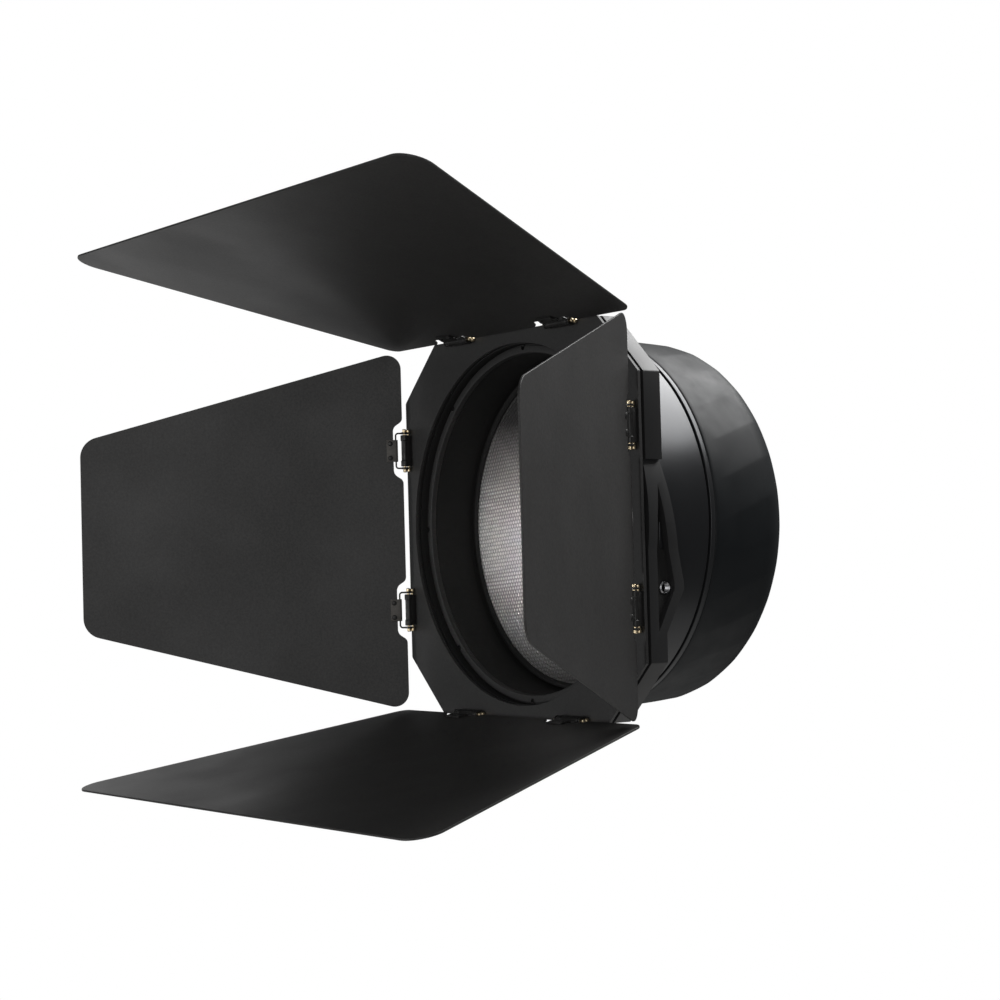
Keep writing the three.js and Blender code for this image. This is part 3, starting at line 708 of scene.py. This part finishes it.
def make_front_ring():
    """The ring that holds the baffle, with screw notches in the edge of its face."""
    r_in, r_out = radii("front_ring")
    front, rear = span("front_ring")
    face_r = r_out - 1 * MM
    shelf, back = front + FRONT_RING_STEP, front + FRONT_RING_THICK
    mesh = turned(rounded([
        (r_in, front, 0.5 * MM), (face_r, front, 0.3 * MM), (face_r, shelf, 0),
        (r_out, shelf, 0.2 * MM), (r_out, rear, 0.2 * MM),
        (SLEEVE_IN, rear, 0.2 * MM), (SLEEVE_IN, back, 0.1 * MM), (r_in, back, 0.2 * MM),
    ]))
    notch_x = face_r - NOTCH_INSET
    notches = around_beam(lambda: plain_rod(
        (notch_x, front - 1 * MM, 0), (notch_x, front + NOTCH_DEPTH, 0), NOTCH_R), NOTCH_COUNT)
    mesh = boolean(mesh, notches, "DIFFERENCE")
    piece = add_piece("front_ring_turned", mesh, "plate", "root", "frame_sheet", "front_ring")
    # the screw notches are painted black for the shade in them
    centres = circle(notch_x, steps=NOTCH_COUNT)
    paint_shade_black(piece, lambda corners: any(
        all((p.xz - centre).length < NOTCH_R + 0.05 * MM for p in corners) for centre in centres))


BAFFLE_PITCH = 2.0 * MM
BAFFLE_STEP = 0.12 * MM


def make_baffle_tube():
    """The black tube in front of the lens, with fine steps that catch stray light."""
    r_in, r_out = radii("baffle_tube")
    front, rear = span("baffle_tube")
    inner = []
    for i in range(int((rear - front) / BAFFLE_PITCH)):
        y = rear - i * BAFFLE_PITCH
        inner += [(r_in + BAFFLE_STEP, y), (r_in, y - 0.8 * BAFFLE_PITCH)]
    mesh = turned([(r_in, front), (r_out, front), (r_out, rear), *inner])
    add_piece("baffle_tube_stepped", mesh, "baffle", "root", "baffle", "baffle_tube")


SHELL_WALL = 3.5 * MM  # of the drum and of the seam ring's lip
SHELL_WEB = 3 * MM  # of the drum's two ends


def make_drum_shell():
    """The painted drum: a wall with a web inwards at each end."""
    r_in = radii("drum_shell")[0]
    wall = DRUM_R - SHELL_WALL
    web_front, web_rear = DRUM_FRONT + SHELL_WEB, DRUM_REAR - SHELL_WEB
    mesh = turned(rounded([
        (r_in, DRUM_FRONT, 0), (DRUM_R - 1.2 * MM, DRUM_FRONT, 1.2 * MM),
        (DRUM_R - 0.2 * MM, web_front, 6 * MM), (DRUM_R, DRUM_REAR, 0.5 * MM),
        (r_in, DRUM_REAR, 0), (r_in, web_rear, 0), (wall, web_rear, 0),
        (wall, web_front, 0), (r_in, web_front, 0),
    ], 6), 2 * ROUND_STEPS)
    add_piece("drum_shell_painted", mesh, "drum", "root", "barrel", "drum_shell")


def make_seam_ring():
    """The disc behind the drum and its rounded lip over the grip's front edge."""
    bore, lip = radii("seam_ring")
    front, rear = span("seam_ring")
    web = front + 1.7 * MM
    mesh = turned(rounded([
        (bore, front, 0.1 * MM), (lip, front, 0.5 * MM), (lip, rear, 1.1 * MM),
        (lip - SHELL_WALL, rear, 0.2 * MM), (lip - SHELL_WALL, web, 0), (bore, web, 0.1 * MM),
    ], 8), 2 * ROUND_STEPS)
    add_piece("seam_ring_turned", mesh, "trim", "root", "trim", "seam_ring")


CAM_PINS = 3
CAM_PIN_TURN = 30  # degrees of the first pin from the +X side
SLOT_WIDTH = 4.6 * MM


def make_guide_tube():
    """The fixed tube, with a straight slot along the beam for each cam pin's travel."""
    r_in, r_out = radii("guide_tube")
    tube = turned(ring_profile(r_in, r_out, *span("guide_tube"), 0.2 * MM))
    front, rear = span("cam_pin_1")
    travel = JOINTS["lens_carriage_slide"]["range_m"][1]
    slots = around_beam(lambda: boxed(
        (r_in - 2 * MM, front - 1 * MM, -SLOT_WIDTH / 2),
        (r_out + 2 * MM, rear + travel + 1 * MM, SLOT_WIDTH / 2), 0.4 * MM),
        CAM_PINS, CAM_PIN_TURN)
    mesh = boolean(tube, slots, "DIFFERENCE")
    add_piece("guide_tube_slotted", mesh, "baffle", "root", "baffle", "guide_tube")


# ---- Focus ring ------------------------------------------------------------

FLUTES = 30
FLUTE_HALF = math.pi / FLUTES
FLUTE_HOLLOW = 0.12 * MM
FACET_SHARE = 0.34  # of the depth that a flat facet would have
FLUTE_SHIFT = 0.2  # of a flute
FLUTE_LEAN = math.radians(0.19) / MM  # turn per metre along the beam
GRIP_SHOULDER_R = 111.3 * MM
GRIP_INNER_R = GRIP_R - 3.4 * MM
INNER_SHOULDER = {"depth": 25.9 * MM, "y": FACE_Y + 97 * MM}
BAND_ROWS = 34
FLUTE_COLUMNS = 24


def smooth_step(value, low, high):
    """Rises softly from 0 at low to 1 at high."""
    t = min(1.0, max(0.0, (value - low) / (high - low)))
    return t * t * (3 - 2 * t)


def flute_depth(angle, y):
    """How far the grip's surface lies inside its round outline: shallow, softly ridged flutes."""
    turn = (angle - FLUTE_LEAN * (y - GRIP_FRONT)) / (2 * FLUTE_HALF) + FLUTE_SHIFT
    across = 2 * (turn - math.floor(turn)) - 1
    facet = GRIP_R * (1 - math.cos(FLUTE_HALF) / math.cos(FLUTE_HALF * across))
    hollow = FLUTE_HOLLOW * (1 - across * across) ** 2
    front = smooth_step(y + 3.5 * MM * across * across, GRIP_FRONT + 5 * MM, GRIP_FRONT + 19 * MM)
    rear = 1 - smooth_step(y, GRIP_SHOULDER_Y + 2 * MM, GRIP_REAR - 2 * MM)
    return (FACET_SHARE * facet + hollow) * front * rear


def shoulder_profile(width, depth, y, steps):
    """A quarter ellipse from y back to the rear rim."""
    return [
        (GRIP_RIM + width * math.cos(t), y + depth * math.sin(t))
        for t in (math.pi / 2 * i / steps for i in range(steps + 1))
    ]


def grip_profile():
    """The fluted outside and the plain inside of the grip, as polylines of (radius, y)."""
    band = [
        (GRIP_R - 1.4 * MM, GRIP_FRONT), (GRIP_R - 0.8 * MM, GRIP_FRONT + 0.1 * MM),
        (GRIP_R - 0.35 * MM, GRIP_FRONT + 0.5 * MM), (GRIP_R - 0.15 * MM, GRIP_FRONT + 1.2 * MM),
    ]
    start = GRIP_FRONT + 2.2 * MM
    for i in range(BAND_ROWS):
        share = i / BAND_ROWS
        y = start + share * (GRIP_SHOULDER_Y - start)
        band.append((GRIP_R - (GRIP_R - GRIP_SHOULDER_R) * share ** 2, y))
    outer = shoulder_profile(
        GRIP_SHOULDER_R - GRIP_RIM, GRIP_REAR - GRIP_SHOULDER_Y, GRIP_SHOULDER_Y, 26)
    inner = shoulder_profile(
        GRIP_INNER_R - GRIP_RIM, INNER_SHOULDER["depth"], INNER_SHOULDER["y"], 12)
    return band + outer, inner[::-1] + [(GRIP_INNER_R, GRIP_FRONT)]


def make_focus_grip():
    """The rubber grip: ridges that lean round the beam, over the band and on to the shoulder."""
    outside, inside = grip_profile()
    count = FLUTES * FLUTE_COLUMNS
    bm = bmesh.new()
    rings = []
    for turn in (2 * math.pi * i / count for i in range(count)):
        places = []
        for r, y in outside:
            angle = turn + FLUTE_LEAN * (y - GRIP_FRONT)
            places.append((r - flute_depth(angle, y), y, angle))
        places += [(r, y, turn) for r, y in inside]
        rings.append([bm.verts.new((r * math.cos(a), y, r * math.sin(a))) for r, y, a in places])
    skin(bm, rings)
    add_piece("focus_grip_fluted", from_bmesh(bm), "rubber", "focus_ring", "grip_rubber",
              "focus_ring_grip", "focus_ring_shoulder", smooth=40)


# ---- Lens carriage ---------------------------------------------------------


LENS_PITCH = 2.4 * MM
LENS_STEP = 0.55 * MM
LENS_RIM = 3.2 * MM
CAM_HOLE_R = 2.1 * MM


def make_lens():
    """A stepped lens: flat back, and a front of shallow rings with steep inner walls."""
    rim = LENS_R - LENS_RIM
    profile = [(0, LENS_BACK), (LENS_R, LENS_BACK), (LENS_R, LENS_FRONT), (rim, LENS_FRONT)]
    radius = rim
    while radius > 2.5 * LENS_PITCH:
        share = radius / LENS_R
        profile += [(radius - 0.2 * MM, LENS_FRONT + LENS_STEP * share),
                    (radius - LENS_PITCH, LENS_FRONT + 0.05 * MM)]
        radius -= LENS_PITCH
    profile += [(0, LENS_FRONT)]
    mesh = turned(profile, closed=False)
    add_piece("lens_stepped", mesh, "lens", "lens_carriage", "lens_glass", "lens", smooth=20)


def make_lens_retainer():
    """The ring in front of the lens, sloped towards it."""
    r_in, r_out = radii("lens_retainer")
    front, rear = span("lens_retainer")
    mesh = turned(rounded([
        (r_in, rear - 0.6 * MM, 0.2 * MM), (r_in + 1.3 * MM, front, 0.3 * MM),
        (r_out, front, 0.3 * MM), (r_out, rear, 0.1 * MM), (r_in, rear, 0.1 * MM),
    ]))
    add_piece("lens_retainer_turned", mesh, "baffle", "lens_carriage", "baffle", "lens_retainer")


def make_lens_carrier():
    """The tube that holds the lens on a step, with a hole for each cam pin."""
    r_in, r_out = radii("lens_carrier")
    front, rear = span("lens_carrier")
    rim_in = LENS_R + 0.4 * MM
    seat = LENS_BACK + GAP
    mesh = turned(rounded([
        (rim_in, front, 0.1 * MM), (r_out, front, 0.2 * MM), (r_out, rear, 0.4 * MM),
        (r_in, rear, 0.4 * MM), (r_in, seat, 0.1 * MM), (rim_in, seat, 0.1 * MM),
    ]))
    y = sum(span("cam_pin_1")) / 2
    holes = around_beam(
        lambda: plain_rod((r_in - 7 * MM, y, 0), (r_out + 9 * MM, y, 0), CAM_HOLE_R),
        CAM_PINS, CAM_PIN_TURN)
    mesh = boolean(mesh, holes, "DIFFERENCE")
    add_piece("lens_carrier_turned", mesh, "baffle", "lens_carriage", "baffle", "lens_carrier")


# ---- Rear cover and bayonet ------------------------------------------------

COVER_R = GRIP_RIM - 0.8 * MM
COVER_WALL = 3 * MM
CONE_REAR = FACE_Y + 117.5 * MM
INNER_CONE_REAR = FACE_Y + 116.6 * MM
COVER_SCREWS = 4
SCREW_CIRCLE = 56 * MM
SCREW_TURN = 45  # degrees of the first screw from the +X side
SCREW_SINK = {"radius": 3.6 * MM, "depth": 2.2 * MM}
SCREW_STEM_R = 1.6 * MM
SOCKET_R = 1.5 * MM
SCREW_HEAD = 1.4 * MM
COLLAR_R = 48 * MM
LUG_COUNT = 3
LUG_R = 52.5 * MM
LUG_DEPTH = 4 * MM
LUG_HALF_TURN = math.radians(18)
LUG_STEPS = 16


def make_rear_cover():
    """A cone from the guide tube down to a flat rear wall with the throat in it."""
    front, rear = span("rear_cover")
    throat, widest = radii("rear_cover")
    wall = COVER_R - COVER_WALL
    mesh = turned(rounded([
        (widest, front, 0.2 * MM), (COVER_R, CONE_REAR, 2 * MM),
        (COVER_R, rear, 1.2 * MM), (throat, rear, 0.4 * MM), (throat, rear - COVER_WALL, 0.3 * MM),
        (wall, rear - COVER_WALL, 0.5 * MM), (wall, INNER_CONE_REAR, 1 * MM),
        (radii("guide_tube")[0], front, 0.2 * MM),
    ]))
    add_piece("rear_cover_turned", mesh, "drum", "root", "barrel", "rear_cover")


def bayonet_lug(rear):
    """One lug: a slice of a ring, standing on the collar."""
    angles = [LUG_HALF_TURN * (2 * i / LUG_STEPS - 1) for i in range(LUG_STEPS + 1)]
    outer = [Vector((LUG_R * math.cos(a), LUG_R * math.sin(a))) for a in angles]
    root = COLLAR_R - 1 * MM
    inner = [Vector((root * math.cos(a), root * math.sin(a))) for a in reversed(angles)]
    return flat_in_xz(slab(outer + inner, [], LUG_DEPTH, 0.5 * MM), rear - LUG_DEPTH / 2)


def make_bayonet_ring():
    """The flange with its seat, the collar that enters the lamp, and the collar's lugs."""
    front, rear = span("bayonet_ring")
    throat, flange = radii("bayonet_ring")
    mesh = turned(rounded([
        (throat, front, 0.3 * MM), (flange, front, 0.8 * MM), (flange, SEAT_Y, 0.8 * MM),
        (COLLAR_R, SEAT_Y, 0.4 * MM), (COLLAR_R, rear, 0.7 * MM), (throat, rear, 0.7 * MM),
    ]))
    lugs = around_beam(lambda: bayonet_lug(rear - 0.5 * MM), LUG_COUNT)
    mesh = boolean(mesh, lugs, "UNION")
    sinks = around_beam(lambda: plain_rod(
        (SCREW_CIRCLE, SEAT_Y - SCREW_SINK["depth"], 0), (SCREW_CIRCLE, SEAT_Y + 1 * MM, 0),
        SCREW_SINK["radius"]), COVER_SCREWS, SCREW_TURN)
    mesh = boolean(mesh, sinks, "DIFFERENCE")
    add_piece("bayonet_ring_turned", mesh, "steel", "root", "steel", "bayonet_ring")


def make_rear_screws():
    """Socket screws, sunk into the bayonet flange."""
    for i in range(COVER_SCREWS):
        node = f"rear_screw_{i + 1}"
        low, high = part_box(node)
        x, z = (low.x + high.x) / 2, (low.z + high.z) / 2
        outline = circle((high.x - low.x) / 2, steps=40)
        head = slab(outline, [circle(SOCKET_R, steps=6)], SCREW_HEAD, 0.2 * MM)
        flat_in_xz(head, high.y - SCREW_HEAD / 2)
        head.transform(Matrix.Translation((x, 0, z)))
        stem = plain_rod((x, low.y, z), (x, high.y - 1.2 * MM, z), SCREW_STEM_R, 0.2 * MM)
        add_piece(f"socket_screw_{i + 1}", together(head, stem), "black", "root", "steel", node)


# ---- Doors -----------------------------------------------------------------

PIN_R = 1.5 * MM
EYE = {"radius": 2.5 * MM, "middle": 11.2 * MM, "half": 0.6 * MM}
RIVET_X, RIVET_HALF = 9.3 * MM, 4.6 * MM
RIVET_STEM_R = 1.2 * MM
RIVET_HOLE_R = 1.3 * MM
TAB_HALF, TAB_END = 7 * MM, 11.6 * MM
TAB_BACK = -LEAF_SHEET / 2 - 0.1 * MM
TAB_THICK = 1 * MM
TAB_FRONT = TAB_BACK - TAB_THICK
CURL_OUT, CURL_IN = 1.3 * MM, 0.6 * MM
CURL_TURN = math.radians(305)
CURL_STEPS = 20
BAIL_X, BAIL_R = 5.6 * MM, 0.55 * MM
BAIL_START = 2.2 * MM
BAIL_CORNER = 1.6 * MM
KNUCKLE_R, KNUCKLE_WAIST_R = 2.5 * MM, 2.1 * MM
KNUCKLE_HALF, KNUCKLE_WAIST_HALF = 10 * MM, 6.2 * MM
KNUCKLE_STEPS = 36
WEB_HALF = (2.2 * MM, 9.6 * MM)  # across and along the hinge


def leaf_outline(size):
    """A leaf with its corners rounded and a notch at each hinge."""
    def notch(z):
        floor = NOTCH_HALF - NOTCH_RAMP
        return [
            (LEAF_START, z + NOTCH_HALF, NOTCH_RAMP), (NOTCH_END, z + floor, NOTCH_ROUND),
            (NOTCH_END, z - floor, NOTCH_ROUND), (LEAF_START, z - NOTCH_HALF, NOTCH_RAMP),
        ]
    length, hinge, free = size["length"], size["hinge_half"], size["free_half"]
    return rounded([
        (LEAF_START, -hinge, LEAF_HINGE_ROUND), (length, -free, LEAF_FREE_ROUND),
        (length, free, LEAF_FREE_ROUND), (LEAF_START, hinge, LEAF_HINGE_ROUND),
        *notch(HINGE_OFFSET), *notch(-HINGE_OFFSET),
    ], 12)


def make_leaf(side):
    """One door's sheet, with its rivet holes."""
    holes = [
        circle(RIVET_HOLE_R, RIVET_X, sign * HINGE_OFFSET + rivet * RIVET_HALF, 24)
        for sign in (-1, 1) for rivet in (-1, 1)
    ]
    mesh = slab(leaf_outline(LEAF_SIZES[side]), holes, LEAF_SHEET, 0.3 * MM)
    flat_in_xz(mesh, 0)
    mesh.transform(leaf_frame(side))
    add_piece(f"leaf_{side}_sheet", mesh, "leaf", f"leaf_{side}", "leaf_sheet", f"leaf_{side}",
              smooth=FLAT_ANGLE)


def curled_tab():
    """The riveted tab, its near edge curled round the bail."""
    centre = Vector((BAIL_X, TAB_FRONT + CURL_OUT))
    first = math.radians(-90)
    angles = [first - CURL_TURN * i / CURL_STEPS for i in range(CURL_STEPS + 1)]
    around = [centre + CURL_OUT * Vector((math.cos(a), math.sin(a))) for a in angles]
    back = [centre + CURL_IN * Vector((math.cos(a), math.sin(a))) for a in reversed(angles)]
    knee = (BAIL_X + 0.3 * MM, TAB_BACK)
    tail = [(TAB_END, TAB_BACK), (TAB_END, TAB_FRONT)]
    return slab([*around, *back[:-1], knee, *tail], [], 2 * TAB_HALF, 0.12 * MM, 1)


def rivet_dome(x, y, z, radius, height, facing):
    """A shallow domed head that rises from y along facing."""
    profile = [(0, 0), (0, radius), (0.25, radius)]
    profile += [(0.25 + 0.75 * math.sin(t), radius * math.cos(t))
                for t in (math.pi / 2 * i / 6 for i in range(1, 7))]
    return rod((x, y, z), (x, y + facing * height, z), profile)


def bail_and_rivets():
    """The wire bail from pin to tab, its two eyes, and the two rivets through tab and leaf."""
    start, middle = BAIL_START, EYE["middle"]
    path = rounded([(start, -middle, 0), (BAIL_X, -middle, BAIL_CORNER),
                    (BAIL_X, middle, BAIL_CORNER), (start, middle, 0)], 6, closed=False)
    parts = [wire([(p.x, 0, p.y) for p in path], BAIL_R)]
    for sign in (-1, 1):
        low, high = sign * middle - EYE["half"], sign * middle + EYE["half"]
        section = ring_profile(PIN_R + 0.15 * MM, EYE["radius"], low, high, 0.25 * MM)
        eye = turned(section, SMALL_STEPS)
        eye.transform(Matrix.Rotation(math.pi / 2, 4, "X"))
        parts.append(eye)
    for z in (-RIVET_HALF, RIVET_HALF):
        parts += [
            rivet_dome(RIVET_X, TAB_FRONT, z, 1.6 * MM, 0.55 * MM, -1),
            rivet_dome(RIVET_X, LEAF_SHEET / 2, z, 1.9 * MM, 0.9 * MM, 1),
            plain_rod((RIVET_X, TAB_FRONT, z), (RIVET_X, LEAF_SHEET / 2, z), RIVET_STEM_R),
        ]
    return together(*parts)


def make_clip(side, index, z):
    """The leaf-side half of a hinge, as a tab and a piece for its bail and rivets."""
    place = leaf_frame(side) @ Matrix.Translation((0, 0, z))
    tab, small = curled_tab(), bail_and_rivets()
    tab.transform(place)
    small.transform(place)
    # the tabs are one gunmetal part; the left leaf's keep it where the light falls, the other
    # leaves' tabs are painted black for the shade they sit in
    tab_finish_with_painted_shade = "gunmetal" if side == "left" else "black"  # the left leaf's are lighter
    add_piece(f"hinge_tab_{side}_{index}", tab, tab_finish_with_painted_shade, f"leaf_{side}", "black_metal",
              f"leaf_clip_{side}_{index}")
    add_piece(f"hinge_bail_{side}_{index}", small, "black", f"leaf_{side}", "black_metal")


def make_bracket(side, index, z):
    """The frame-side half of a hinge: a knuckle with raised ends on a narrow web."""
    top = FACE_Y - JOINTS["leaf_top_hinge"]["pos_m"][1]
    bore, end, waist = PIN_R + 0.1 * MM, KNUCKLE_HALF, KNUCKLE_WAIST_HALF
    collar = waist + 0.4 * MM
    knuckle = turned(rounded([
        (bore, -end, 0), (KNUCKLE_R, -end, 0.4 * MM), (KNUCKLE_R, -collar, 0.4 * MM),
        (KNUCKLE_WAIST_R, -waist, 0.3 * MM), (KNUCKLE_WAIST_R, waist, 0.3 * MM),
        (KNUCKLE_R, collar, 0.4 * MM), (KNUCKLE_R, end, 0.4 * MM), (bore, end, 0),
    ]), KNUCKLE_STEPS)
    knuckle.transform(Matrix.Rotation(math.pi / 2, 4, "X"))
    x, along = WEB_HALF
    web = boxed((-x, 0.5 * MM, -along), (x, top, along), 0.3 * MM)
    mesh = together(knuckle, web)
    mesh.transform(hinge_frame(side) @ Matrix.Translation((0, 0, z)))
    add_piece(f"hinge_bracket_{side}_{index}", mesh, "black", "root", "black_metal",
              f"frame_bracket_{side}_{index}")


def brass_pin(x, y, half):
    """A pin along the hinge with a turned head at each end, thinner between them."""
    shares = (
        (0, 0), (0, 0.75), (0.006, 1.05), (0.018, 1.28), (0.085, 1.3), (0.1, 1.15), (0.104, 1.0),
    )
    profile = [(share, radius * MM) for share, radius in shares]
    profile += [(1 - share, radius) for share, radius in reversed(profile)]
    return rod((x, y, -half), (x, y, half), profile)


def make_pins(side, index, z):
    """The hinge pin, and the fixed pin beside it that holds the knuckle to the plate."""
    mesh = together(brass_pin(0, 0, 13.9 * MM), brass_pin(-0.2 * MM, 2.7 * MM, 13.6 * MM))
    mesh.transform(hinge_frame(side) @ Matrix.Translation((0, 0, z)))
    add_piece(f"hinge_pins_{side}_{index}", mesh, "brass", "root", "brass",
              f"hinge_pin_{side}_{index}")


def make_doors():
    for side in SIDES:
        make_leaf(side)
        for index, z in ((1, -HINGE_OFFSET), (2, HINGE_OFFSET)):
            make_clip(side, index, z)
            make_bracket(side, index, z)
            make_pins(side, index, z)


# ---- Kept CAD nodes --------------------------------------------------------


def dress_cad_nodes():
    """Inner pieces whose CAD shape is right keep it and get a real finish."""
    kept = {"focus_ring_core": "black", **{f"cam_pin_{i}": "steel" for i in (1, 2, 3)}}
    for node, material in kept.items():
        mesh = frame["nodes"][node].data
        mesh.materials.clear()
        mesh.materials.append(MATERIALS[material])


# ---- Stage -----------------------------------------------------------------

CAMERA_FROM_PLATE = Vector((1.0176, -0.7553, -0.0301))
CAMERA_AZIMUTH = math.radians(53.85)
CAMERA_ELEVATION = math.radians(-2.02)
CAMERA_ROLL = math.radians(-1.58)
CAMERA_LENS = 76.2
FLOOR_Z = -1.15
FLOOR_R = 1.6
ROOM_COLOR = (0.97, 0.985, 1, 1)
ROOM_STRENGTH = 0.095
LIGHTS = {  # place, target, size, watts, and spread in degrees
    "overhead": ((0.25, 0.9, 1.25), (0.02, -0.06, 0.02), (1.7, 0.9), 43, 180),
    "camera_side": ((1.7, -1.7, 0.25), (0, -0.05, 0), (1.4, 1.4), 13, 180),
    "left_near": ((-1.05, -0.15, -0.03), (-0.1, -0.25, 0), (0.7, 0.6), 1.4, 180),
    "front": ((-0.45, -1.7, -0.2), (0, -0.09, -0.02), (0.6, 0.6), 6, 180),
    "gridded": ((-0.3, -1.6, -0.1), (-0.02, -0.088, -0.015), (0.1, 0.1), 0.021, 4),
}


def make_camera():
    """Looks back at the doors from beside the beam. Its place is given from the plate's centre."""
    data = bpy.data.cameras.new("camera")
    data.lens = CAMERA_LENS
    data.sensor_width = 36
    camera = link_object("camera", data)
    flat = math.cos(CAMERA_ELEVATION)
    back = Vector((math.sin(CAMERA_AZIMUTH) * flat, -math.cos(CAMERA_AZIMUTH) * flat,
                   math.sin(CAMERA_ELEVATION)))
    aim = (-back).to_track_quat("-Z", "Y").to_matrix() @ Matrix.Rotation(CAMERA_ROLL, 3, "Z")
    place = Vector((0, FACE_Y, 0)) + CAMERA_FROM_PLATE
    camera.matrix_world = Matrix.Translation(place) @ aim.to_4x4()
    bpy.context.scene.camera = camera


def make_lights():
    """Soft area lights, and a weak narrow one into the lens."""
    for name, (place, target, size, watts, spread) in LIGHTS.items():
        data = bpy.data.lights.new(name, "AREA")
        data.shape = "RECTANGLE"
        data.size, data.size_y = size
        data.energy = watts
        data.spread = math.radians(spread)
        aim = (Vector(target) - Vector(place)).to_track_quat("-Z", "Y")
        light = link_object(name, data)
        light.matrix_world = Matrix.Translation(place) @ aim.to_matrix().to_4x4()


def make_surroundings():
    """A white room to the camera, and a dim, slightly blue one to the surfaces in it."""
    world = bpy.data.worlds.new("studio")
    world.use_nodes = True
    bpy.context.scene.world = world
    tree = world.node_tree
    seen = tree.nodes["Background"]
    seen.inputs["Color"].default_value = (1, 1, 1, 1)
    seen.inputs["Strength"].default_value = 1.0
    light = tree.nodes.new("ShaderNodeBackground")
    light.inputs["Color"].default_value = ROOM_COLOR
    light.inputs["Strength"].default_value = ROOM_STRENGTH
    ray = tree.nodes.new("ShaderNodeLightPath")
    mix = tree.nodes.new("ShaderNodeMixShader")
    tree.links.new(ray.outputs["Is Camera Ray"], mix.inputs["Fac"])
    tree.links.new(light.outputs["Background"], mix.inputs[1])
    tree.links.new(seen.outputs["Background"], mix.inputs[2])
    tree.links.new(mix.outputs["Shader"], tree.nodes["World Output"].inputs["Surface"])


def make_floor():
    finish = Finish("floor_paper", (0.8, 0.79, 0.775), 0.9, specular=0.1)
    finish.tint(finish.noise(6, detail=2.0), 0.99, 1.01)
    bm = bmesh.new()
    bmesh.ops.create_circle(bm, cap_ends=True, segments=96, radius=FLOOR_R)
    mesh = from_bmesh(bm)
    mesh.transform(Matrix.Translation((0, 0, FLOOR_Z)))
    mesh.materials.append(finish.material)
    link_object("floor", mesh)


# ---- Assembly --------------------------------------------------------------

make_camera()
make_lights()
make_surroundings()
make_floor()
make_frame_plate()
make_spacer_ring()
make_accessory_frame()
make_lock_insert()
make_front_ring()
make_baffle_tube()
make_drum_shell()
make_seam_ring()
make_guide_tube()
make_focus_grip()
make_lens()
make_lens_retainer()
make_lens_carrier()
make_rear_cover()
make_bayonet_ring()
make_rear_screws()
make_doors()
dress_cad_nodes()
bpy.context.scene.view_settings.view_transform = "Standard"
